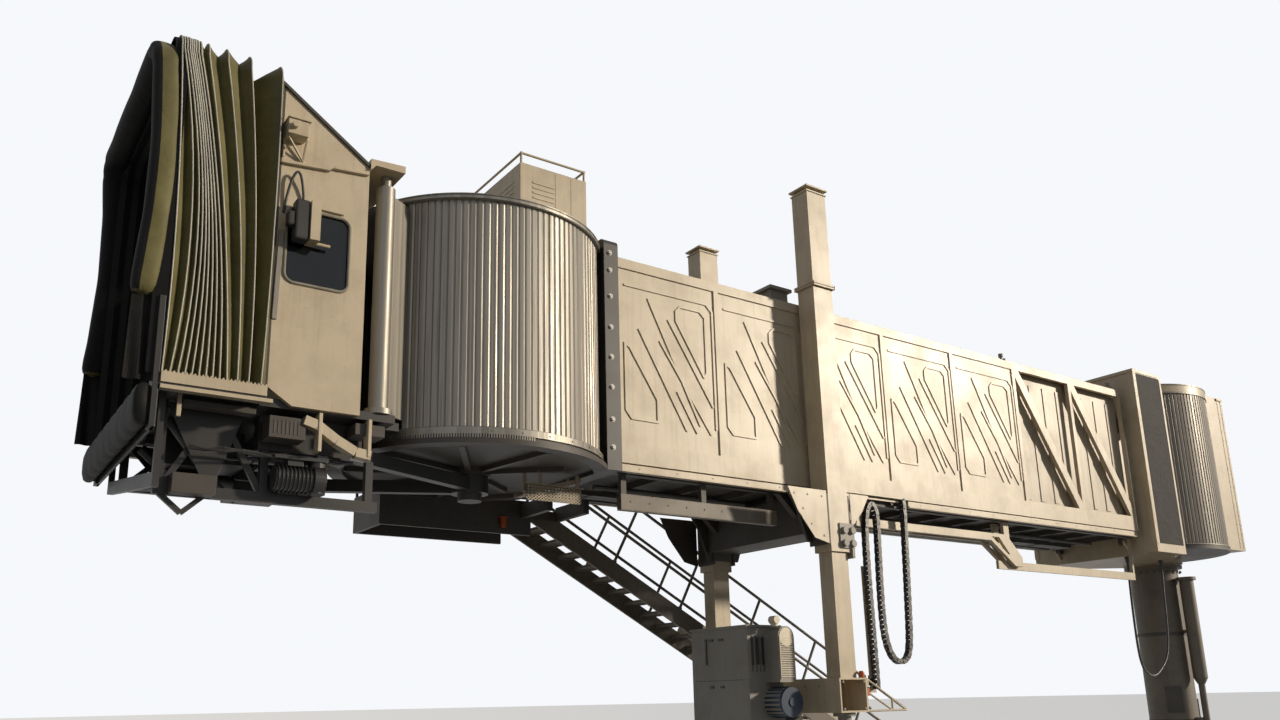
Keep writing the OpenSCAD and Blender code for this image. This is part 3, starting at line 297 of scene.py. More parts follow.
# Canopy bellows: one long strip of PVC-coated polyester, pleated over hoops and hung as an arch. Olive outside,
# dulled by sun, with a fine plain weave that shows as a soft tooth and grey bloom along the fold edges.
def coated_cloth(name, hex_code, bloom_code, roughness=0.62, sheen=0.15, shine=0.5):
    """PVC-coated polyester with a 1.2 mm plain weave, drawn at 8 mm so that it shows."""
    material, tree, at = tree_of(name)
    dirt = spread(tree, noise(tree, at, 3.0, 7.0, Roughness=0.65), 0.42, 0.72, 0.0, 0.6)
    fade = spread(tree, noise(tree, stretched(tree, at, 6.0, 6.0, 0.7), 1.0, 4.0), 0.5, 0.8, 0.0, 0.35)
    faded = mix(tree, fade, mix(tree, dirt, hex_code, bloom_code), "#25231c")
    warp, weft = (add(tree, "TexWave", {"bands_direction": way, "Scale": 40.0, "Distortion": 0.4, "Vector": at}, "Fac")
                  for way in ("Z", "DIAGONAL"))
    weave = bump(tree, maths(tree, "MULTIPLY", warp, weft), 0.25, 0.001)
    crease = bump(tree, noise(tree, at, 5.0, 4.0, Distortion=1.2), 0.5, 0.02, weave)
    surface(tree, faded, roughness, crease, {"IOR": 1.5, "Sheen Weight": sheen, "Specular IOR Level": shine})
    return material


def arch_points(half, top, foot, radius, steps=7):
    """The line of an arch in Y and Z, from the foot on the -Y side over the top to the other foot, with normals."""
    leg, across = top - radius - foot, 2 * (half - radius)
    points = [((-half, foot + leg * i / 12), (-1.0, 0.0)) for i in range(13)]
    for centre, start in ((-half + radius, 180), (half - radius, 90)):
        for i in range(1, steps + 1):
            a = math.radians(start - 90 * i / steps)
            c, s = math.cos(a), math.sin(a)
            points.append(((centre + radius * c, top - radius + radius * s), (c, s)))
        if start == 180:
            points += [((-half + radius + across * i / 8, top), (0.0, 1.0)) for i in range(1, 9)]
    return points + [((half, top - radius - leg * i / 12), (1.0, 0.0)) for i in range(1, 13)]


olive_cloth = coated_cloth("olive_coated_cloth", "#5e5931", "#78734b", shine=0.3)
# The cloth is black; its near-black tone, darker than the cloth itself, is also painted shade for the inside of the
# canopy.
black_and_shaded_cloth = coated_cloth("black_coated_cloth_and_shade", "#0b0b0b", "#1a1918", roughness=0.75, sheen=0.0, shine=0.2)
bellows_back, bellows_front = -18.69, -19.655
foot, top, corner = 4.585, 8.19, 0.22
line = arch_points(1.55, top, foot, corner)

# where each fold lies from front, 0, to back, 1: fanned at the sill, bunched half way up and again on top
fold_sills = (0.0, 0.07, 0.14, 0.205, 0.27, 0.335, 0.4, 0.465, 0.53, 0.6, 0.7, 0.81, 0.93)
fold_middles = (0.01, 0.15, 0.215, 0.255, 0.29, 0.32, 0.355, 0.39, 0.43, 0.48, 0.63, 0.78, 0.96)
fold_crowns = (-0.08, -0.055, -0.03, -0.005, 0.015, 0.035, 0.055, 0.08, 0.11, 0.19, 0.38, 0.62, 0.95)
folds = len(fold_sills)


def fold_place(k, t):
    """The place of fold k at a height t, from 0 at the sill to 1 on top: a parabola through its three places."""
    m = 0.45
    return (fold_sills[k] * (t - m) * (t - 1) / m + fold_middles[k] * t * (t - 1) / (m * (m - 1))
            + fold_crowns[k] * t * (t - m) / (1 - m))


def bellows_row(k, share, depth):
    """One line of the cloth: share of the way from fold k to the next, hanging in by depth times the folds' gap."""
    row = []
    for (y, z), (ny, nz) in line:
        height = min(1.0, (z - foot) / (top - corner - foot))
        this, after = fold_place(k, height), fold_place(min(k + 1, folds - 1), height)
        u = this * (1 - share) + after * share
        crumple = 0.006 * math.sin(3.1 * z + 1.7 * k + 2.3 * y) * (1.0 if depth else 0.4)
        sag = -depth * (0.035 + 0.32 * abs(after - this)) + crumple
        row.append((bellows_front + (bellows_back - bellows_front) * u, y + ny * sag, z + nz * sag))
    return row


def tucked(x, depth):
    """A line of the cloth at x, tucked in by a depth all round the arch."""
    return [(x, y - ny * depth, z - nz * depth) for (y, z), (ny, nz) in line]


rows, piping = [], []
even_pleat = ((0.28, 0.55), (0.6, 1.0), (0.8, 0.6))
wide_pleat = ((0.08, 1.0), (0.18, 1.75), (0.6, 0.85))
for k in range(folds):
    piping.append(bellows_row(k, 0.0, 0.0))
    rows.append(piping[-1])
    if k < folds - 1:
        rows += [bellows_row(k, share, depth) for share, depth in (even_pleat if k < folds - 2 else wide_pleat)]
rows.insert(0, [(x - 0.004, y, z) for (x, _, _), (_, y, z) in zip(rows[0], tucked(0, 0.06))])
rows.append(tucked(bellows_back + 0.002, 0.12))


def run_length(points):
    """The length of a line of points."""
    return sum((Vector(b) - Vector(a)).length for a, b in zip(points, points[1:]))


def quads(rows, count, wrap=False):
    """The faces between rows of count points each; wrap also joins each row's last point to its first."""
    return [(k * count + i, k * count + (i + 1) % count, (k + 1) * count + (i + 1) % count, (k + 1) * count + i)
            for k in range(rows - 1) for i in range(count if wrap else count - 1)]


def cloth_skin(name, rows, material):
    """A thin cloth over rows of points, at the size it was cut to."""
    skin = mesh_of(name, [p for row in rows for p in row], quads(len(rows), len(rows[0])))
    link(skin, material, "cab").modifiers.new("cloth_thickness", "SOLIDIFY").thickness = 0.003
    return skin


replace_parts(cloth_skin("canopy_bellows_skin", rows, olive_cloth), "canopy_bellows")

# Canopy lining: black coated cloth laced to the inner edges of the folds. It stands in shallow waves between
# the laces and closes the gap to the cab's walls.
lining_front = bellows_front - 0.14
lining_rows = []
for k in range(17):
    x, tuck = lining_front + (bellows_back - lining_front) * k / 16, 0.02 * (k % 2)
    lining_rows.append([(x, y - ny * (tuck - 0.008 * math.sin(3 * z)), z - nz * tuck)
                        for (y, z), (ny, nz) in arch_points(1.34, 7.98, foot, 0.18)])
cloth_skin("canopy_lining", lining_rows, black_and_shaded_cloth)

# Canopy collar and side flaps: black coated cloth again. The collar joins the first fold to the pads, and below each
# pad a flap hangs to the bumper, with a soft wave and a hem weighted with a steel rod.
cloth_skin("canopy_collar", [tucked(bellows_front, 0.004), tucked(-19.71, 0.016), tucked(-19.79, 0.03)], black_and_shaded_cloth)
for s, side in ((-1, "near"), (1, "far")):
    flap = [[(-19.7 - 0.021 * i - 0.02 * k * i / 96, s * (1.465 + 0.018 * math.sin(0.9 * i + 0.25 * k) * k / 8),
              5.46 - 0.118 * k) for k in range(9)] for i in range(13)]
    cloth_skin("canopy_flap_" + side, flap, black_and_shaded_cloth)

# Canopy piping: each fold edge is bound with a light grey tape over a cord, sewn into the cloth.
# It draws the pale line along every fold.
tape_grey = coated_cloth("grey_binding_tape", "#bdbbb1", "#d3d0c4", roughness=0.5)
curve = bpy.data.curves.new("canopy_piping", "CURVE")
curve.dimensions = "3D"
curve.bevel_depth, curve.bevel_resolution = 0.0075, 1
for row in piping:
    spline = curve.splines.new("POLY")
    spline.points.add(len(row) - 1)
    for point, place in zip(spline.points, row):
        point.co = (*place, 1.0)
link(bpy.data.objects.new("canopy_piping", curve), tape_grey, "cab")


# Canopy pads: a foam-filled arch in front of the bellows that presses on the aircraft. Its outside is olive coated
# cloth and its front and inside are black. It bulges between its seams and is a little crushed by use.
def rounded_square(turn, power):
    """A point on a rounded square about two units wide; a higher power squares it more."""
    c, s = math.cos(turn), math.sin(turn)
    r = (abs(c) ** power + abs(s) ** power) ** (-1 / power)
    return r * c, r * s


def stuffed_tube(name, verts, ring, material):
    """A smooth closed tube over rings of points."""
    last = len(verts) - ring
    faces = quads(len(verts) // ring, ring, wrap=True) + [tuple(range(ring))[::-1], tuple(range(last, last + ring))]
    return link(mesh_of(name, verts, faces, smooth=True), material, "cab")


pad_foot, pad_top, pad_x = 5.32, 8.015, -19.87
pad_wide, pad_deep, pad_bow = 0.205, 0.25, 0.075
pad_line = arch_points(1.46, pad_top, pad_foot, 0.26, 9)
ring, verts = 16, []
for i, ((y, z), (ny, nz)) in enumerate(pad_line):
    seam = (1.0 - 0.07 * (i % 4 == 0)) * (0.95 if i in (0, len(pad_line) - 1) else 1.0)
    bowed = pad_x + pad_bow * math.sin(math.pi * (z - pad_foot) / (pad_top - pad_foot))
    for j in range(ring):
        c, s = rounded_square(math.tau * j / ring, 4)
        dent = 0.004 * math.sin(5.0 * z + 1.2 * j + 1.3 * y) * math.sin(2.7 * z)
        across = pad_wide / 2 * c * seam + dent
        verts.append((bowed + pad_deep / 2 * s * seam, y + ny * across, z + nz * across))
side_pad = stuffed_tube("canopy_side_pad", verts, ring, olive_cloth)
side_pad.data.materials.append(black_and_shaded_cloth)
for face in side_pad.data.polygons:
    face.material_index = 1 if len(face.vertices) == 4 and face.index % ring not in (0, 1, ring - 1) else 0
smooth = side_pad.modifiers.new("soft_skin", "SUBSURF")
smooth.levels = smooth.render_levels = 1
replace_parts(side_pad, "canopy_bumper")


# Cab side fittings, near side: a lamp housing with its blind back, a camera box on a bracket, rain gutters and a
# drip strip, all folded from painted sheet and screwed to the wall. The window sits in a light rubber gasket.
def block(bm, low, high):
    """A box between two corners."""
    for v in bmesh.ops.create_cube(bm, size=1.0)["verts"]:
        v.co = Vector([(low[i] + high[i]) / 2 + v.co[i] * abs(high[i] - low[i]) for i in range(3)])


def rod(bm, a, b, r, sides=12):
    """A round bar from a to b."""
    a, b = Vector(a), Vector(b)
    turn = (b - a).to_track_quat("Z", "Y").to_matrix().to_4x4()
    bmesh.ops.create_cone(bm, cap_ends=True, segments=sides, radius1=r, radius2=r, depth=(b - a).length,
                          matrix=Matrix.Translation((a + b) / 2) @ turn)


def bar(bm, a, b, wide, high):
    """A rectangular bar from a to b, wide across and high upwards."""
    a, b = Vector(a), Vector(b)
    turn = (b - a).to_track_quat("X", "Z").to_matrix().to_4x4()
    size = Matrix.Diagonal(((b - a).length, wide, high, 1.0))
    bmesh.ops.create_cube(bm, size=1.0, matrix=Matrix.Translation((a + b) / 2) @ turn @ size)


def plate(bm, outline, axis, low, high):
    """A flat plate: its outline lies across the axis, and it runs from low to high along it."""
    at = "xyz".index(axis)
    front, back = ([bm.verts.new((*p[:at], d, *p[at:])) for p in outline] for d in (low, high))
    bm.faces.new(front)
    bm.faces.new(back[::-1])
    for i in range(len(outline)):
        j = (i + 1) % len(outline)
        bm.faces.new((front[i], back[i], back[j], front[j]))


def piece(name, bm, material, body, edge=0.003):
    """Closes a mesh, rounds its edges a little and puts it on its body."""
    bmesh.ops.recalc_face_normals(bm, faces=bm.faces)
    mesh = bpy.data.meshes.new(name)
    bm.to_mesh(mesh)
    bm.free()
    obj = link(bpy.data.objects.new(name, mesh), material, body)
    if edge:
        soft = obj.modifiers.new("rounded_edges", "BEVEL")
        soft.width, soft.segments, soft.limit_method = edge, 2, "ANGLE"
    return obj


def tube(name, points, radius, material, body, resolution=4, closed=False):
    """A round tube along a line of points."""
    curve = bpy.data.curves.new(name, "CURVE")
    curve.dimensions = "3D"
    curve.bevel_depth, curve.bevel_resolution = radius, resolution
    curve.use_fill_caps = True
    spline = curve.splines.new("POLY")
    spline.points.add(len(points) - 1)
    for p, co in zip(spline.points, points):
        p.co = (*co, 1.0)
    spline.use_cyclic_u = closed
    return link(bpy.data.objects.new(name, curve), material, body)


gasket_rubber = coated_cloth("gasket_rubber", "#8a8578", "#a39d8f", roughness=0.7)
pane_y, rounding, window = -1.424, 0.1, []
for x, z, start in ((-18.0, 6.51, 0), (-18.47, 6.51, 90), (-18.47, 5.88, 180), (-18.0, 5.88, 270)):
    for a in range(start, start + 91, 15):
        window.append((x + rounding * math.cos(math.radians(a)), pane_y, z + rounding * math.sin(math.radians(a))))
tube("window_gasket", window, 0.017, gasket_rubber, "cab", closed=True)
bm = bmesh.new()
block(bm, (-18.53, -1.6, 6.2), (-18.385, -1.45, 6.64))
block(bm, (-18.6, -1.58, 6.34), (-18.52, -1.47, 6.5))
piece("lamp_blind", bm, black_enamel, "cab", 0.02)
bm = bmesh.new()
block(bm, (-18.66, -1.6, 7.345), (-18.45, -1.43, 7.52))
block(bm, (-18.67, -1.62, 7.515), (-18.43, -1.425, 7.53))
rod(bm, (-18.6, -1.6, 7.43), (-18.6, -1.66, 7.43), 0.035, 16)
bar(bm, (-18.65, -1.55, 7.34), (-18.43, -1.43, 7.12), 0.02, 0.02)
bar(bm, (-18.45, -1.55, 7.34), (-18.45, -1.43, 7.12), 0.02, 0.02)
bar(bm, (-18.65, -1.44, 7.34), (-18.65, -1.44, 7.14), 0.02, 0.02)
piece("camera_box", bm, beige_enamel, "cab")
bm = bmesh.new()
bar(bm, (-18.66, -1.44, 7.07), (-18.15, -1.44, 7.12), 0.045, 0.012)
bar(bm, (-18.66, -1.463, 7.08), (-18.15, -1.463, 7.13), 0.006, 0.03)
bar(bm, (-18.12, -1.44, 7.155), (-17.73, -1.44, 7.19), 0.045, 0.012)
bar(bm, (-18.12, -1.463, 7.165), (-17.73, -1.463, 7.2), 0.006, 0.03)
bar(bm, (-18.26, -1.435, 6.655), (-17.98, -1.435, 6.655), 0.03, 0.014)
piece("wall_gutters", bm, beige_enamel, "cab", 0.001)
bm = bmesh.new()
for s in (-1, 1):
    bar(bm, (-18.7, s * 1.43, 8.0), (-17.7, s * 1.43, 7.3), 0.03, 0.035)
    block(bm, (-18.69, s * 1.425, 4.62), (-18.66, s * 1.405, 7.96))
piece("cab_edge_flashing", bm, chassis_enamel, "cab", 0.002)
bm = bmesh.new()
bar(bm, (-18.64, -1.43, 5.35), (-18.62, -1.43, 6.32), 0.02, 0.05)
piece("sensor_strip", bm, powder_coat, "cab", 0.003)

# Cable loop over the cab window: a short black PVC-sheathed cable in a tight bend, held by a screwed gland
# in the wall at each end.
rubber_sheath = coated_cloth("black_cable_sheath", "#161616", "#34322f", roughness=0.45)
loop = []
for i in range(17):
    t, rise = i / 16, math.sin(math.pi * i / 16)
    loop.append((-18.61 + 0.2 * t, -1.425 - 0.07 * rise ** 0.7, 6.52 + 0.42 * rise ** 0.62 + 0.08 * t))
cab_loop = tube("cab_cable_loop", loop, 0.014, rubber_sheath, "cab")

# Floor bumper: a moulded rubber fender on a steel backing along the front of the cab floor, with bolt pockets,
# and two black painted legs that carry the side pads.
bm = bmesh.new()
for s in (-1, 1):
    block(bm, (-19.725, s * 1.385, 4.07), (-19.672, s * 1.555, 5.34))
    for z in (4.75, 4.95, 5.15):
        rod(bm, (-19.725, s * 1.47, z), (-19.735, s * 1.47, z), 0.018, 6)
block(bm, (-19.7, -1.55, 4.07), (-19.672, 1.55, 4.51))
piece("canopy_frame_legs", bm, black_enamel, "cab")
moulded_rubber = coated_cloth("moulded_black_rubber", "#101010", "#242220", roughness=0.7, sheen=0.0, shine=0.25)
rings, ring, verts = 40, 14, []
for i in range(rings + 1):
    swell = 1.0 - 0.06 * (i % 5 == 0)
    for j in range(ring):
        c, s = rounded_square(math.tau * j / ring, 3)
        verts.append((-19.785 + 0.08 * c * swell, -1.53 + 3.06 * i / rings, 4.29 + 0.2 * s * swell))
stuffed_tube("floor_bumper_pad", verts, ring, moulded_rubber)

# Sill under the bellows: a folded channel in beige enamel, welded along each side of the cab floor. Its upper
# edge is toothed, and each fold of the bellows is laced down to it.
bm = bmesh.new()
for s in (-1, 1):
    block(bm, (-19.66, s * 1.561, 4.5), (-18.7, s * 1.575, 4.6))
    for k in range(26):
        x = -19.64 + 0.0365 * k
        plate(bm, [(x, 4.598), (x + 0.018, 4.622), (x + 0.034, 4.598)], "y", s * 1.561, s * 1.574)
    block(bm, (-19.66, s * 1.48, 4.44), (-18.64, s * 1.575, 4.478))
piece("bellows_sill", bm, beige_enamel, "cab", 0.001)

# Cab underframe fittings: two geared motors that turn the cab, a control box, cable trays and the bent beige
# conduit that crosses from the cab to the drum. Greasy dark castings and sheet.
bm = bmesh.new()
for y in (-1.16, -0.62):
    rod(bm, (-18.48, y, 3.8), (-18.1, y, 3.8), 0.125, 28)
    rod(bm, (-18.1, y, 3.8), (-17.98, y, 3.8), 0.155, 28)
    for i in range(9):
        rod(bm, (-18.46 + 0.04 * i, y, 3.8), (-18.45 + 0.04 * i, y, 3.8), 0.142, 28)
    rod(bm, (-18.04, y, 3.66), (-18.04, y, 4.02), 0.09, 20)
    block(bm, (-18.36, y - 0.07, 3.92), (-18.2, y + 0.07, 4.0))
    block(bm, (-18.5, y - 0.1, 3.98), (-17.96, y + 0.1, 4.02))
piece("cab_drive_motors", bm, black_enamel, "cab")
bm = bmesh.new()
block(bm, (-18.6, -1.36, 4.16), (-18.24, -1.1, 4.38))
block(bm, (-19.42, -1.2, 3.56), (-19.02, -0.98, 3.75))
block(bm, (-17.72, -1.34, 4.3), (-17.4, -1.06, 4.42))
for i in range(7):
    block(bm, (-18.56 + 0.04 * i, -1.365, 4.2), (-18.545 + 0.04 * i, -1.358, 4.34))
for y in (-1.3, 0.45):
    block(bm, (-19.4, y, 4.38), (-18.72, y + 0.14, 4.44))
piece("cab_control_boxes", bm, chassis_enamel, "cab")
bm = bmesh.new()
bend = [(x, -1.33, z) for x, z in ((-18.26, 4.37), (-18.12, 4.33), (-17.92, 4.2), (-17.72, 4.1), (-17.56, 4.08))]
for a, b in zip(bend, bend[1:]):
    bar(bm, a, b, 0.12, 0.1)
block(bm, (-19.47, -1.4, 4.24), (-19.43, -1.36, 4.48))
for x in (-18.12, -17.6):
    block(bm, (x, -1.4, 4.06), (x + 0.035, -1.26, 4.46))
piece("bent_conduit", bm, beige_enamel, "cab")
bm = bmesh.new()
for k, y in enumerate((-1.24, -1.18, -0.86, 0.2, 0.86)):
    points = [(-19.3 + 0.16 * i, y + 0.02 * math.sin(1.7 * i + k),
               4.02 - 0.035 * math.sin(0.9 * i + k) ** 2 + 0.012 * k) for i in range(11)]
    for a, b in zip(points, points[1:]):
        rod(bm, a, b, 0.014 + 0.003 * (k % 3), 8)
piece("clipped_cab_looms", bm, rubber_sheath, "cab", 0)


# Hose loop by the rotunda: black rubber hose, hung from the swing arm in one slack bight. Each end runs up
# through a black enamelled gland with a hexagon collar, screwed into the arm.
def smooth_route(points, parts=4):
    """More points on the same line, by Catmull-Rom."""
    p = [Vector(points[0])] + [Vector(q) for q in points] + [Vector(points[-1])]
    out = []
    for i in range(1, len(p) - 2):
        for j in range(parts):
            t = j / parts
            out.append(0.5 * (2 * p[i] + (p[i + 1] - p[i - 1]) * t
                              + (2 * p[i - 1] - 5 * p[i] + 4 * p[i + 1] - p[i + 2]) * t * t
                              + (3 * p[i] - p[i - 1] - 3 * p[i + 1] + p[i + 2]) * t ** 3))
    return out + [p[-2]]


hose_route = [(-2.05, 4.0397), (-2.05, 3.9), (-2.062, 3.7), (-2.08, 3.45), (-2.092, 3.2), (-2.1, 2.9),
              (-2.102, 2.6), (-2.096, 2.35), (-2.07, 2.13), (-2.01, 1.97), (-1.91, 1.87), (-1.78, 1.815),
              (-1.64, 1.81), (-1.5, 1.86), (-1.35, 1.95), (-1.2, 2.07), (-1.09, 2.21), (-1.01, 2.4),
              (-0.96, 2.65), (-0.93, 2.9), (-0.905, 3.15), (-0.88, 3.4), (-0.858, 3.65), (-0.835, 3.9),
              (-0.835, 4.0397)]
hose_line = smooth_route([(x, -0.62, z) for x, z in hose_route])
hose = tube("rotunda_hose", hose_line, 0.022, rubber_sheath, "swing", 5)
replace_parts(hose, "rotunda_cable_loop")
bm = bmesh.new()
for x in (-2.05, -0.835):
    rod(bm, (x, -0.62, 3.93), (x, -0.62, 4.035), 0.034, 20)
    rod(bm, (x, -0.62, 4.0), (x, -0.62, 4.038), 0.048, 6)
piece("hose_glands", bm, black_enamel, "swing", 0.002)

# Cable carrier by the lift: moulded black nylon links, each with two side plates, cross bars and a hinge pin. It
# rises along its guide, turns over and hangs in a slack loop to the tunnel's edge.
chain_route = [(-9.82, 1.65), (-9.82, 1.95), (-9.822, 2.3), (-9.824, 2.65), (-9.826, 3.0), (-9.826, 3.35),
               (-9.822, 3.65), (-9.812, 3.9), (-9.785, 4.12), (-9.735, 4.27), (-9.66, 4.335), (-9.59, 4.29),
               (-9.556, 4.16), (-9.552, 3.95), (-9.562, 3.65), (-9.575, 3.35), (-9.585, 3.05), (-9.588, 2.75),
               (-9.575, 2.48), (-9.53, 2.26), (-9.45, 2.11), (-9.33, 2.03), (-9.2, 2.04), (-9.1, 2.13),
               (-9.05, 2.29), (-9.025, 2.5), (-9.005, 2.8), (-8.985, 3.15), (-8.965, 3.5), (-8.948, 3.85),
               (-8.932, 4.15), (-8.932, 4.4597)]
chain_y = -1.035
chain_line = smooth_route([(x, chain_y, z) for x, z in chain_route])
chain_length = run_length(chain_line)
links = int(chain_length / 0.07)


def spot(line, distance):
    """The point at a distance along a line of points."""
    for a, b in zip(line, line[1:]):
        step = (b - a).length
        if distance <= step:
            return a + (b - a) * (distance / step)
        distance -= step
    return line[-1]


bm = bmesh.new()
for i in range(links):
    a, b = (spot(chain_line, k * chain_length / links) for k in (i, i + 1))
    near, far = a - (b - a) * 0.06, b + (b - a) * 0.06
    for s in (-1, 1):
        side = Vector((0, s * (0.043 if i % 2 else 0.038), 0))
        bar(bm, near + side, far + side, 0.005, 0.066)
        rod(bm, b + Vector((0, s * 0.036, 0)), b + Vector((0, s * 0.048, 0)), 0.014, 8)
    for turn in (-1, 1):
        across = (b - a).normalized().cross(Vector((0, 1, 0))) * 0.029 * turn
        bar(bm, a + (b - a) * 0.06 + across, a + (b - a) * 0.8 + across, 0.078, 0.005)
nylon = coated_cloth("black_nylon_links", "#1c1d1e", "#45433e", roughness=0.42)
chain = piece("lift_cable_carrier", bm, nylon, None, 0)
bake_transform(chain)
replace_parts(chain, "lift_cable_chain")

# Cab-end flange bolts: the two thick frames of the flange are bolted together. The hexagon bolts and their washers
# are zinc plated and bright against the black enamel.
zinc = sprayed_enamel("zinc_plate", "#c9c7c0", "#8d8a80", runs=0.1, roughness=0.35, blotch=0.3)
bm = bmesh.new()
for s in (-1, 1):
    for z in (4.62, 4.98, 5.4, 5.8, 6.2, 6.62, 6.98, 7.22):
        rod(bm, (-14.33, s * 1.11, z), (-14.33, s * 1.133, z), 0.026, 6)
        rod(bm, (-14.33, s * 1.11, z), (-14.33, s * 1.114, z), 0.036, 20)
piece("flange_bolts", bm, zinc, "outer_tunnel", 0)


# Drum track: bright steel rack teeth, cut from bar and welded round the edge under the drum. The pinions of the
# cab's drive run in them.
def turned(x, radius, angle, z):
    """A point at a radius and an angle about the upright axis at x."""
    return (x + radius * math.cos(angle), radius * math.sin(angle), z)


track_metal = mill_aluminium("track_steel", drum_x, 3.0)
bm = bmesh.new()
for i in range(88):
    for s in (-1, 1):
        a = math.radians(s * (92 + i * 0.98))
        turn = Matrix.Translation(turned(drum_x, 1.688, a, 4.408)) @ Matrix.Rotation(a, 4, "Z")
        bmesh.ops.create_cube(bm, size=1.0, matrix=turn @ Matrix.Diagonal((0.046, 0.017, 0.05, 1.0)))
piece("drum_track_teeth", bm, track_metal, "outer_tunnel", 0)


# Drum roof edge: a drip ring of bare aluminium, folded from strip and riveted under the roof, with a narrow
# upper lip. It ends where the drum meets the tunnel.
def hoop(bm, x, radius, z, wide, high, parts, open_ahead=False):
    """A hoop of flat bars about the upright axis at x, left open where the drum meets the tunnel."""
    for i in range(parts):
        a, b = (math.tau * (i + end) / parts for end in (0, 1))
        if not open_ahead or math.cos((a + b) / 2) < 0.78:
            bar(bm, turned(x, radius, a, z), turned(x, radius, b, z), wide, high)


bm = bmesh.new()
hoop(bm, drum_x, 1.668, 7.262, 0.012, 0.03, 96, open_ahead=True)
hoop(bm, drum_x, 1.668, 7.3, 0.012, 0.012, 96, open_ahead=True)
piece("drum_drip_ring", bm, track_metal, "outer_tunnel", 0)

# Roof unit: a cooling unit in a case of folded sheet, screwed at its seams and sprayed beige. Pressed louvres
# let the air through its sides.
bm = bmesh.new()
for i in range(9):
    block(bm, (-15.487, -0.62, 7.55 + 0.07 * i), (-15.478, -0.05, 7.575 + 0.07 * i))
    block(bm, (-15.3, -0.808, 7.52 + 0.07 * i), (-14.98, -0.799, 7.545 + 0.07 * i))
for x in (-14.96, -14.72):
    block(bm, (x, -0.804, 7.4), (x + 0.006, -0.799, 8.3))
block(bm, (-15.48, -0.803, 7.36), (-14.48, -0.797, 7.42))
piece("roof_unit_louvres", bm, beige_enamel, "outer_tunnel", 0.001)

# Lift columns: bolted caps, a joint collar with its bolts and roller guides at the lower end, where the inner
# tube runs out. Greased steel rollers on dark brackets.
bm = bmesh.new()
for s in (-1, 1):
    y0 = s * column_y
    for dx in (-0.19, -0.06, 0.06, 0.19):
        for dy in (-0.165, 0.165):
            rod(bm, (lift_x + dx, y0 + dy, 8.99), (lift_x + dx, y0 + dy, 9.028), 0.014, 6)
    for z in (7.4, 7.435):
        for e in (-1, 1):
            block(bm, (-10.985, y0 + e * 0.172, z), (-10.535, y0 + e * 0.196, z + 0.025))
            block(bm, (lift_x + e * 0.204, y0 - 0.196, z), (lift_x + e * 0.227, y0 + 0.196, z + 0.025))
    for x in (lift_x - 0.2, lift_x + 0.2):
        rod(bm, (x, y0 - 0.175, 7.39), (x, y0 - 0.175, 7.47), 0.012, 6)
piece("lift_column_collars", bm, beige_enamel, "outer_tunnel", 0.002)
bm = bmesh.new()
for s in (-1, 1):
    for z in (3.62, 3.8):
        for x in (-10.7, -10.55):
            rod(bm, (x, s * 1.44, z), (x, s * 1.49, z), 0.05, 20)
    block(bm, (-10.78, s * 1.435, 3.55), (-10.5, s * 1.45, 3.9))
    block(bm, (-10.57, s * 1.3, 3.42), (-10.52, s * 1.46, 3.6))
piece("lift_roller_guides", bm, powder_coat, "outer_tunnel")

# Equipment unit: a powder-coated cabinet with black handles and slots, a cream slotted duct housing with a round
# top and a small lamp, and a blue-enamelled drive motor with cooling fins.
bm = bmesh.new()
block(bm, (-11.925, -0.62, 1.8), (-11.918, 0.44, 1.806))
for y in (-0.2, 0.02):
    block(bm, (-11.935, y, 2.34), (-11.92, y + 0.1, 2.37))
    block(bm, (-11.935, y + 0.02, 1.7), (-11.92, y + 0.09, 1.73))
block(bm, (-11.935, 0.16, 2.02), (-11.92, 0.19, 2.38))
for i in range(4):
    block(bm, (-11.86 + 0.09 * i, -0.712, 2.0), (-11.82 + 0.09 * i, -0.7, 2.36))
piece("cabinet_handles", bm, black_enamel, "lift", 0.002)
bm = bmesh.new()
rod(bm, (-11.485, -0.998, 2.355), (-11.485, -0.985, 2.355), 0.125, 40)
for i in range(18):
    bar(bm, (-11.6, -0.994, 1.83 + 0.03 * i), (-11.37, -0.994, 1.83 + 0.03 * i), 0.016, 0.01)
for x in (-11.615, -11.36):
    block(bm, (x, -1.002, 1.8), (x + 0.012, -0.988, 2.37))
rod(bm, (-11.6, -0.9, 2.5), (-11.6, -0.9, 2.56), 0.05, 24)
rod(bm, (-11.6, -0.96, 2.585), (-11.6, -0.84, 2.585), 0.055, 24)
cream_enamel = sprayed_enamel("cream_enamel", "#ded5c0", "#a3967c", runs=0.2, roughness=0.45)
piece("duct_grille", bm, cream_enamel, "lift", 0.001)
blue_enamel = sprayed_enamel("blue_motor_enamel", "#1b3147", "#14202c", runs=0.2, roughness=0.35)
bm = bmesh.new()
for i in range(20):
    x, fin, z = turned(-11.5, 0.19, math.tau * i / 20, 1.5)
    bar(bm, (x, -0.72, z + fin), (x, -1.02, z + fin), 0.008, 0.03)
rod(bm, (-11.5, -1.02, 1.5), (-11.5, -1.06, 1.5), 0.195, 40)
rod(bm, (-11.5, -1.055, 1.5), (-11.5, -1.075, 1.5), 0.06, 24)
piece("drive_motor_fins", bm, blue_enamel, "lift", 0.002)

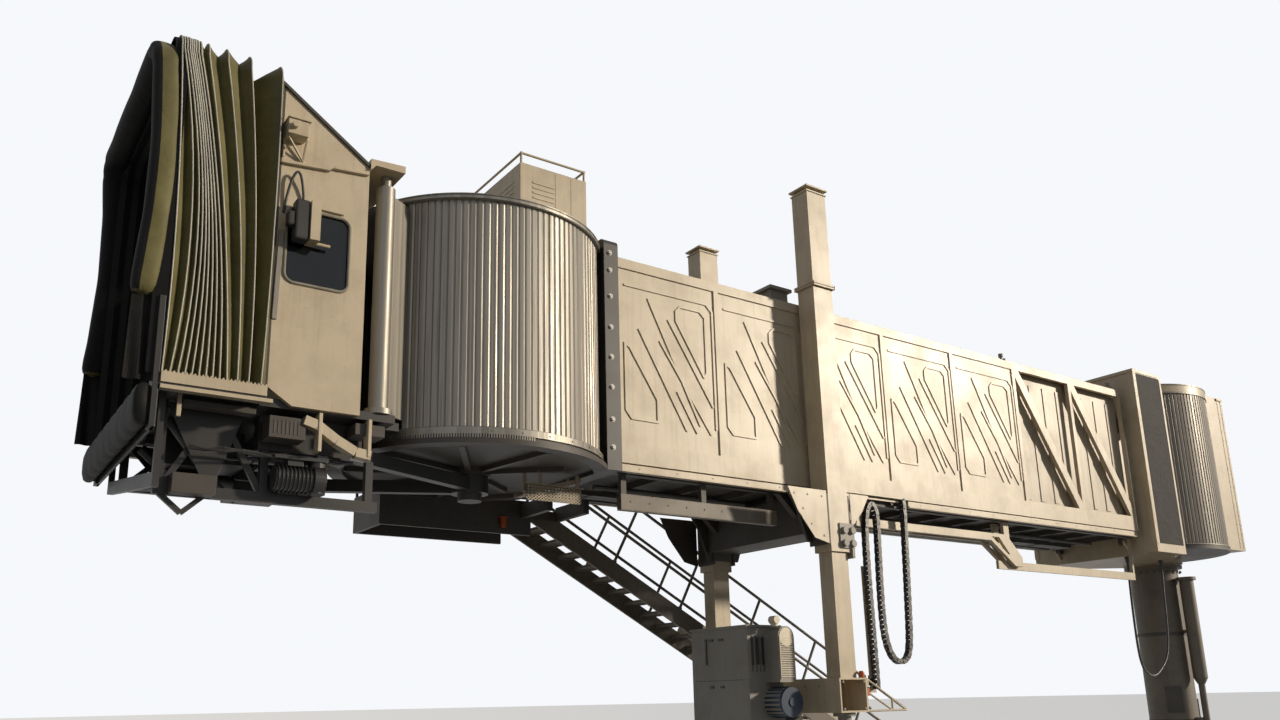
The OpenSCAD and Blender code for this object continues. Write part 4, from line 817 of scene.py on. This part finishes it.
# Tunnel roof fittings: one square vent cowl of folded sheet, two pairs of small lamp standards on base plates and
# two cable boxes beside the lift columns. Powder-coated steel.
bm = bmesh.new()
block(bm, (-11.25, -0.85, 7.19), (-10.91, -0.55, 7.48))
block(bm, (-11.3, -0.9, 7.48), (-10.86, -0.5, 7.53))
for x in (-5.8, -2.42):
    block(bm, (x - 0.1, -0.98, 7.2), (x + 0.1, -0.88, 7.25))
    rod(bm, (x - 0.03, -0.93, 7.25), (x - 0.03, -0.93, 7.37), 0.022, 12)
    rod(bm, (x - 0.03, -0.93, 7.33), (x - 0.03, -0.93, 7.39), 0.04, 16)
    rod(bm, (x + 0.06, -0.93, 7.25), (x + 0.06, -0.93, 7.32), 0.028, 12)
for x in (-11.7, -10.3):
    block(bm, (x, -0.95, 7.2), (x + 0.12, -0.8, 7.26))
piece("roof_vent_cowls", bm, powder_coat, "outer_tunnel")

# Drum skirt: a rolled strip of bare aluminium with a folded lower lip, round the floor of the drum under the
# slats. It is riveted about every 350 mm.
bm = bmesh.new()
hoop(bm, drum_x, 1.667, 4.475, 0.008, 0.075, 120, open_ahead=True)
hoop(bm, drum_x, 1.676, 4.436, 0.008, 0.008, 120, open_ahead=True)
for i in range(0, 120, 4):
    a = math.tau * i / 120
    if math.cos(a + math.pi / 120) < 0.78:
        rod(bm, turned(drum_x, 1.668, a, 4.475), turned(drum_x, 1.679, a, 4.475), 0.011, 8)
piece("drum_skirt", bm, track_metal, "outer_tunnel", 0)

# Tunnel edge rails: folded beige channels screwed along the floor under both side walls, with a shadow gap above.
# On the lift side the channel is cut back to a narrow lip where the cable carrier turns over.
bm = bmesh.new()
for s in (-1, 1):
    for x0, x1 in ((cab_end, -9.98), (-8.8, portal_end)) if s < 0 else ((cab_end, portal_end),):
        block(bm, (x0, s * 0.985, 4.365), (x1, s * 1.04, 4.445))
        block(bm, (x0, s * 0.985, 4.345), (x1, s * 1.062, 4.36))
        for i in range(int((x1 - x0) / 0.6)):
            rod(bm, (x0 + 0.3 + 0.6 * i, s * 1.04, 4.405), (x0 + 0.3 + 0.6 * i, s * 1.047, 4.405), 0.011, 6)
block(bm, (-9.99, -1.0, 4.41), (-8.79, -0.985, 4.445))
piece("tunnel_edge_rails", bm, beige_enamel, "outer_tunnel", 0.002)

# Service rail cover: a tray of folded sheet in grey-brown enamel, with a lip along its top and bottom. It is
# bolted over the rail under the cab half of the tunnel.
bm = bmesh.new()
block(bm, (-14.1, -0.922, 3.895), (-11.46, -0.913, 4.085))
block(bm, (-14.1, -0.922, 3.885), (-11.46, -0.828, 3.895))
block(bm, (-14.1, -0.922, 4.083), (-11.46, -0.9, 4.092))
for i in range(9):
    rod(bm, (-13.95 + 0.3 * i, -0.922, 4.0), (-13.95 + 0.3 * i, -0.93, 4.0), 0.012, 6)
piece("service_rail_cover", bm, column_enamel, "outer_tunnel", 0.002)

# Roof seams: the roof sheets lap under ribs pressed from the same beige steel, sealed and riveted. A gutter
# strip runs along each edge.
bm = bmesh.new()
for i in range(9):
    x = -14.05 + 1.42 * i
    plate(bm, [(-0.97, 7.202), (0.97, 7.202), (0.97, 7.226), (0, 7.246), (-0.97, 7.226)], "x", x, x + 0.05)
for s in (-1, 1):
    bar(bm, (cab_end, s * 1.035, 7.215), (portal_end, s * 1.035, 7.215), 0.02, 0.03)
piece("roof_seam_ribs", bm, beige_enamel, "outer_tunnel", 0.002)

# Services under the floor: a folded steel tray on cross straps with three black cables clipped in it, and a
# drain pipe with its clamps beside it. They stop on both sides of the lift.
tray_runs = ((-14.1, -11.5), (-10.0, -2.7))
bm = bmesh.new()
for x0, x1 in tray_runs:
    block(bm, (x0, 0.1, 4.262), (x1, 0.38, 4.267))
    for y in (0.1, 0.375):
        block(bm, (x0, y, 4.262), (x1, y + 0.005, 4.322))
    for i in range(int((x1 - x0) / 0.75)):
        block(bm, (x0 + 0.2 + 0.75 * i, 0.08, 4.25), (x0 + 0.24 + 0.75 * i, 0.4, 4.262))
    rod(bm, (x0, -0.3, 4.285), (x1, -0.3, 4.285), 0.034, 16)
    for i in range(int((x1 - x0) / 1.5)):
        rod(bm, (x0 + 0.4 + 1.5 * i, -0.3, 4.285), (x0 + 0.44 + 1.5 * i, -0.3, 4.285), 0.042, 16)
piece("underfloor_tray", bm, chassis_enamel, "outer_tunnel", 0)
bm = bmesh.new()
for x0, x1 in tray_runs:
    for k, y in enumerate((0.15, 0.22, 0.31)):
        rod(bm, (x0, y, 4.285 + 0.004 * k), (x1, y + 0.01, 4.285), 0.014 + 0.004 * k, 10)
piece("underfloor_cables", bm, rubber_sheath, "outer_tunnel", 0)

# Service stair: channel stringers with a pressed, ribbed tread on each step, a folded guard along the lower half of
# each stringer and welded round handrails. The guard's beige is painted light, for the sun on the lower half of the
# stair. The treads are galvanised and worn bright at the nose.
galvanised = sprayed_enamel("galvanised_steel", "#8b8983", "#5b5750", runs=0.1, roughness=0.45, blotch=0.6)
slope = math.radians(28.5)
stair_length = 3.98 / math.sin(slope)


def on_stair(x, y, z):
    """A point given along the stair, across it and square to it, in the frame."""
    c, s = math.cos(slope), math.sin(slope)
    return (-13.92 + x * c + z * s, y, 4.24 - x * s + z * c)


bm = bmesh.new()
for i in range(1, 24):
    x, _, z = on_stair(i * 0.17 / math.sin(slope) - 0.06, 0, 0)
    block(bm, (x + 0.235, 1.615, z - 0.035), (x + 0.275, 2.375, z + 0.019))
    for k in range(7):
        block(bm, (x - 0.005 + 0.034 * k, 1.615, z + 0.014), (x + 0.01 + 0.034 * k, 2.375, z + 0.021))
    for y in (1.612, 2.355):
        block(bm, (x - 0.005, y, z - 0.045), (x + 0.265, y + 0.02, z - 0.018))
piece("stair_tread_plates", bm, galvanised, "stair", 0.0)
# The beige of this guard is painted light: the sun on the stair's lower half, whose upper half stays dark.
bm = bmesh.new()
guard_end = stair_length - 0.15
for y in (1.56, 2.421):
    corners = [on_stair(a, 0, b) for a, b in ((3.6, 0.135), (guard_end, 0.135), (guard_end, 0.3), (3.6, 0.3))]
    plate(bm, [(x, z) for x, _, z in corners], "y", y, y + 0.008)
piece("stair_guard_plates", bm, beige_enamel, "stair", 0.001)
for side, y in (("near", 1.59), ("far", 2.4)):
    bm = bmesh.new()
    for h in (0.5, 1.0):
        rod(bm, on_stair(0.15, y, 0.12 + h), on_stair(guard_end, y, 0.12 + h), 0.024, 16)
    for i in range(6):
        at = 0.15 + 1.4 * i
        rod(bm, on_stair(at, y, 0.12), on_stair(at, y, 1.12), 0.023, 16)
        rod(bm, on_stair(at, y, 0.12), on_stair(at, y, 0.15), 0.035, 16)
    piece("stair_handrail_" + side, bm, column_enamel, "stair", 0)

# Stair landing: galvanised steel bar grating in a welded frame. It is laid on the landing's plate and clipped
# down at its outer edge.
bm = bmesh.new()
for i in range(34):
    x = -16.22 + 0.065 * i
    block(bm, (x, 1.8 if x > -16.1 else 1.95, 4.399), (x + 0.014, 2.42, 4.406))
for x in (-15.9, -15.3, -14.7, -14.2):
    block(bm, (x, 2.395, 4.399), (x + 0.05, 2.425, 4.412))
piece("landing_grating", bm, galvanised, "outer_tunnel", 0.0)

# Drive wheels: solid rubber tyres, moulded with shoulder lugs and two plain ribs and pressed on dished steel rims.
# Ten nuts hold each rim to its hub.
hub_z, steps = 0.575, 176
half_profile = [(0.042, 0.575), (0.05, 0.56), (0.062, 0.56), (0.07, 0.575), (0.125, 0.571), (0.168, 0.545),
                (0.18, 0.5), (0.18, 0.41), (0.172, 0.37), (0.15, 0.335), (0.1, 0.32)]
rubber_profile = [(-y, r) for y, r in half_profile[-2::-1]] + half_profile + [(-0.1, 0.32)]
for side, y0 in (("left", -0.64), ("right", 0.64)):
    cad, body, verts = side + "_wheel", "wheel_" + side, []
    for i in range(steps):
        a = math.tau * i / steps
        for y, r in rubber_profile:
            lug = 0.012 if abs(y) > 0.068 and r > 0.54 and (i // 2 + (y > 0)) % 3 == 0 else 0.0
            verts.append((lift_x + (r - lug) * math.cos(a), y0 + y, hub_z + (r - lug) * math.sin(a)))
    faces = [tuple(v % len(verts) for v in face) for face in quads(steps + 1, len(rubber_profile), wrap=True)]
    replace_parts(link(mesh_of(cad + "_tyre", verts, faces), tyre_rubber, body), cad)
    bm = bmesh.new()
    for a, b, r in ((-0.15, -0.13, 0.33), (0.13, 0.15, 0.33), (-0.09, 0.09, 0.325), (-0.2, -0.08, 0.155),
                    (0.08, 0.2, 0.155), (-0.205, -0.2, 0.12), (0.2, 0.205, 0.12)):
        rod(bm, (lift_x, y0 + a, hub_z), (lift_x, y0 + b, hub_z), r, 48)
    for i in range(10):
        a = math.tau * i / 10
        x, z = lift_x + 0.235 * math.cos(a), hub_z + 0.235 * math.sin(a)
        rod(bm, (x, y0 - 0.175, z), (x, y0 + 0.175, z), 0.012, 10)
        rod(bm, (x, y0 - 0.165, z), (x, y0 - 0.15, z), 0.024, 6)
        rod(bm, (x, y0 + 0.15, z), (x, y0 + 0.165, z), 0.024, 6)
    piece(cad + "_rim", bm, powder_coat, body, 0.004)

# Rotunda trims: a folded drip ring under the roof edge, a slat track ring at the floor and a bolted hatch and two
# band clamps on the column.
bm = bmesh.new()
for radius, z, wide, high in ((1.444, 7.385, 0.008, 0.03), (1.444, 7.555, 0.01, 0.02), (1.446, 4.3, 0.01, 0.02)):
    hoop(bm, 0.0, radius, z, wide, high, 96)
piece("rotunda_drip_ring", bm, track_metal, "rotunda", 0)
bm = bmesh.new()
for turn_z, low, high in ((215, 1.1, 1.6), (330, 0.9, 1.35)):
    c, d = math.cos(math.radians(turn_z)), math.sin(math.radians(turn_z))
    middle = Vector((c * 0.452, d * 0.452, (low + high) / 2))
    turn = Matrix.Translation(middle) @ Matrix.Rotation(math.radians(turn_z), 4, "Z")
    bmesh.ops.create_cube(bm, size=1.0, matrix=turn @ Matrix.Diagonal((0.03, 0.3, high - low, 1.0)))
    for y in (-0.12, 0.12):
        for z in (low + 0.05, high - 0.05):
            at = Vector((c * 0.465 - d * y, d * 0.465 + c * y, z))
            rod(bm, at, at + Vector((c, d, 0)) * 0.014, 0.014, 6)
for z in (0.93, 2.63):
    hoop(bm, 0.0, 0.453, z, 0.008, 0.07, 48)
for i in range(24):
    a = math.tau * i / 24
    rod(bm, turned(0.0, 0.5, a, 3.855), turned(0.0, 0.5, a, 3.895), 0.018, 6)
piece("column_hatches", bm, chassis_enamel, "rotunda", 0.002)

# Swing portal trims: folded beige corner channels with their rivets, black rubber side sheets under two straps
# each, and a beige flashing screwed along the top edges.
bm = bmesh.new()
for s in (-1, 1):
    block(bm, (-2.135, s * 1.19, 4.2), (-2.115, s * 1.285, 7.6))
    block(bm, (-2.13, s * 1.278, 4.2), (-2.03, s * 1.288, 7.6))
    for i in range(22):
        rod(bm, (-2.135, s * 1.235, 4.3 + 0.155 * i), (-2.141, s * 1.235, 4.3 + 0.155 * i), 0.01, 8)
        rod(bm, (-2.08, s * 1.288, 4.3 + 0.155 * i), (-2.08, s * 1.294, 4.3 + 0.155 * i), 0.01, 8)
piece("portal_corner_channels", bm, beige_enamel, "swing", 0.002)
bm = bmesh.new()
for s in (-1, 1):
    block(bm, (-2.02, s * 1.279, 4.22), (-1.16, s * 1.283, 7.57))
    for z in (5.2, 6.4):
        block(bm, (-2.02, s * 1.282, z), (-1.24, s * 1.286, z + 0.05))
piece("portal_side_sheets", bm, moulded_rubber, "swing", 0.001)
bm = bmesh.new()
for s in (-1, 1):
    block(bm, (-2.14, s * 1.276, 7.585), (-1.22, s * 1.289, 7.645))
block(bm, (-2.145, -1.292, 7.585), (-2.118, 1.292, 7.645))
block(bm, (-2.14, -1.292, 7.632), (-2.06, 1.292, 7.645))
piece("portal_flashing", bm, beige_enamel, "swing", 0.002)

# Terminal frame trims: beige cover strips over the joints of the sheets, with their rivets, and a rain gutter
# of folded sheet along the top.
bm = bmesh.new()
for s in (-1, 1):
    for x in (1.42, 1.56):
        block(bm, (x, s * 1.138, 4.36), (x + 0.05, s * 1.146, 7.56))
        for i in range(16):
            rod(bm, (x + 0.025, s * 1.146, 4.46 + 0.2 * i), (x + 0.025, s * 1.151, 4.46 + 0.2 * i), 0.009, 8)
    block(bm, (1.38, s * 1.138, 7.545), (1.62, s * 1.165, 7.56))
    block(bm, (1.38, s * 1.158, 7.56), (1.62, s * 1.165, 7.6))
piece("terminal_frame_trims", bm, beige_enamel, "rotunda", 0.002)

# Axle beam bolts: the flanged ends of the lift's lower cross beam, held by hexagon bolts, and the turned end caps
# of the two lift screws. Powder-coated steel.
bm = bmesh.new()
for s in (-1, 1):
    rod(bm, (lift_x, s * column_y, 1.3), (lift_x, s * column_y, 1.35), 0.15, 32)
    rod(bm, (lift_x, s * column_y, 1.24), (lift_x, s * column_y, 1.3), 0.09, 24)
    for x in (lift_x - 0.2, lift_x + 0.2):
        for z in (1.4, 1.75):
            rod(bm, (x, s * 1.472, z), (x, s * 1.484, z), 0.018, 6)
for x, outer in ((-11.022, -11.032), (-10.498, -10.488)):
    for i in range(9):
        rod(bm, (x, -1.1 + 0.275 * i, 1.7), (outer, -1.1 + 0.275 * i, 1.7), 0.014, 6)
piece("axle_beam_bolts", bm, powder_coat, "lift", 0.002)

# Warning lamps and limit switch: small die-cast boxes in orange and green enamel, screwed to the end of the beam
# and to the landing's edge.
orange_enamel = sprayed_enamel("orange_switch_enamel", "#c05a1a", "#7b3a16", runs=0.1, roughness=0.4)
green_enamel = sprayed_enamel("green_switch_enamel", "#3d7a4a", "#28492e", runs=0.1, roughness=0.4)
bm = bmesh.new()
rod(bm, (-10.56, -1.44, 1.8), (-10.56, -1.44, 1.87), 0.042, 20)
rod(bm, (-10.56, -1.44, 1.87), (-10.56, -1.44, 1.89), 0.03, 20)
block(bm, (-10.49, -1.44, 1.56), (-10.42, -1.35, 1.66))
piece("orange_beam_lamp", bm, orange_enamel, "lift", 0.004)
bm = bmesh.new()
rod(bm, (-14.47, 1.47, 4.0), (-14.47, 1.47, 4.12), 0.045, 20)
rod(bm, (-14.47, 1.47, 3.98), (-14.47, 1.47, 4.0), 0.032, 20)
block(bm, (-14.53, 1.43, 4.12), (-14.41, 1.52, 4.13))
piece("orange_landing_lamp", bm, orange_enamel, "outer_tunnel", 0.004)
bm = bmesh.new()
block(bm, (-9.9, -0.97, 1.7), (-9.8, -0.9, 1.8))
rod(bm, (-9.85, -0.935, 1.8), (-9.85, -0.935, 1.84), 0.02, 12)
piece("green_limit_switch", bm, green_enamel, "lift", 0.004)

# Beam end guard: a bent and welded steel rod frame at the near end of the beam, in beige enamel, that keeps
# hands off the screw, with the round covers of two cable drums on it.
bm = bmesh.new()
guard_y = -1.36
for x0, z0, x1, z1 in ((-10.4, 1.8, -9.62, 1.36), (-10.4, 1.62, -9.9, 1.36), (-10.46, 1.36, -9.62, 1.36),
                       (-10.4, 1.36, -10.4, 1.84), (-9.9, 1.36, -9.9, 1.52)):
    rod(bm, (x0, guard_y, z0), (x1, guard_y, z1), 0.014, 10)
for z in (1.42, 1.52):
    rod(bm, (-10.47, guard_y, z), (-10.42, guard_y, z), 0.05, 24)
block(bm, (-10.5, -1.44, 1.68), (-10.43, -1.3, 1.78))
piece("beam_end_guard", bm, beige_enamel, "lift", 0.001)

# Column gussets: steel cover plates over the saddle's ends, stepped at their feet and bolted on both sides of
# each column. The near ones are beige. The far ones are beige as well, but get the dark chassis enamel as painted
# shade, for the tunnel's shadow that falls on them.
for s, paint, slot in ((-1, beige_enamel, "beige_paint"), (1, chassis_enamel, "dark_steel")):
    bm = bmesh.new()
    inner, outer = s * 1.432, s * 1.442
    plate(bm, [(-11.72, 4.335), (-11.56, 4.02), (-11.26, 3.66), (-10.995, 3.6), (-10.995, 4.335)], "y", inner, outer)
    plate(bm, [(-10.14, 4.335), (-10.29, 4.1), (-10.47, 3.9), (-10.53, 3.9), (-10.53, 4.335)], "y", inner, outer)
    for x, z in ((-11.6, 4.25), (-11.45, 4.05), (-11.3, 3.85), (-11.08, 3.7), (-11.08, 4.25), (-11.35, 4.25)):
        rod(bm, (x, outer, z), (x, s * 1.452, z), 0.016, 6)
    piece("column_gusset_" + ("near" if s < 0 else "far"), bm, paint, "outer_tunnel", 0.002)

# Cab underframe infill: dark gusset plates under the sills, two levelling actuators, a valve block and a pump set,
# all bolted between the rails. Painted black, with oily dust.
bm = bmesh.new()
for s, rise in ((-1, 0.0), (1, 0.33)):
    foot_z, knee = 3.72 + rise, (-18.95, s * 0.72, 3.8 + 0.6 * rise)
    plate(bm, [(-19.5, 4.47), (-18.74, 4.47), (-19.0, foot_z), (-19.12, foot_z)], "y", s * 1.028, s * 1.036)
    plate(bm, [(-18.6, 4.45), (-17.8, 4.45), (-17.95, 4.1), (-18.5, 4.02)], "y", s * 0.88, s * 0.888)
    rod(bm, (-19.4, s * 0.72, 4.38), knee, 0.055, 20)
    rod(bm, knee, (-18.72, s * 0.72, 3.6 + rise), 0.03, 16)
block(bm, (-19.36, -0.46, 3.98), (-18.86, 0.1, 4.4))
block(bm, (-18.78, -0.4, 4.05), (-18.58, 0.3, 4.4))
block(bm, (-18.5, 0.35, 3.86), (-17.95, 0.8, 4.36))
block(bm, (-19.2, 0.3, 4.1), (-18.7, 0.86, 4.4))
block(bm, (-18.52, -0.98, 4.06), (-17.98, -0.5, 4.4))
block(bm, (-17.95, -0.95, 4.16), (-17.5, -0.2, 4.4))
pump_y, pump_z = -0.18, 3.9
rod(bm, (-19.3, pump_y, pump_z), (-18.8, pump_y, pump_z), 0.1, 24)
rod(bm, (-18.8, pump_y, pump_z), (-18.62, pump_y, pump_z), 0.07, 24)
for i in range(6):
    rod(bm, (-19.26 + 0.07 * i, pump_y, pump_z), (-19.24 + 0.07 * i, pump_y, pump_z), 0.112, 24)
piece("cab_underframe_infill", bm, black_enamel, "cab", 0.004)

# Cable tray under the drum: a folded, slotted cream tray that leads the cab's cables up to the tunnel floor, and
# the upright perforated plate that it hangs on, punched in rows from sheet steel.
bm = bmesh.new()
a, b = Vector((-15.3, -0.45, 4.02)), Vector((-14.46, -0.45, 4.26))
bar(bm, a, b, 0.22, 0.006)
for y in (-0.11, 0.11):
    bar(bm, a + Vector((0, y, 0.025)), b + Vector((0, y, 0.025)), 0.006, 0.055)
for i in range(7):
    step = a + (b - a) * (0.08 + 0.14 * i)
    bar(bm, step + Vector((0, -0.1, -0.008)), step + Vector((0, 0.1, -0.008)), 0.03, 0.012)
for t in (0.1, 0.85):
    step = a + (b - a) * t
    block(bm, (step.x - 0.015, -0.47, step.z), (step.x + 0.015, -0.43, 4.325))
piece("drum_cable_tray", bm, beige_enamel, "outer_tunnel", 0.001)
bm = bmesh.new()
for i in range(6):
    block(bm, (-15.26, -0.566, 3.97 + 0.036 * i), (-14.46, -0.56, 3.988 + 0.036 * i))
for i in range(17):
    block(bm, (-15.26 + 0.0485 * i, -0.566, 3.97), (-15.236 + 0.0485 * i, -0.56, 4.168))
block(bm, (-15.28, -0.6, 4.168), (-14.44, -0.56, 4.174))
for x in (-15.1, -14.56):
    block(bm, (x, -0.59, 4.17), (x + 0.05, -0.584, 4.335))
piece("drum_perforated_plate", bm, beige_enamel, "outer_tunnel", 0)
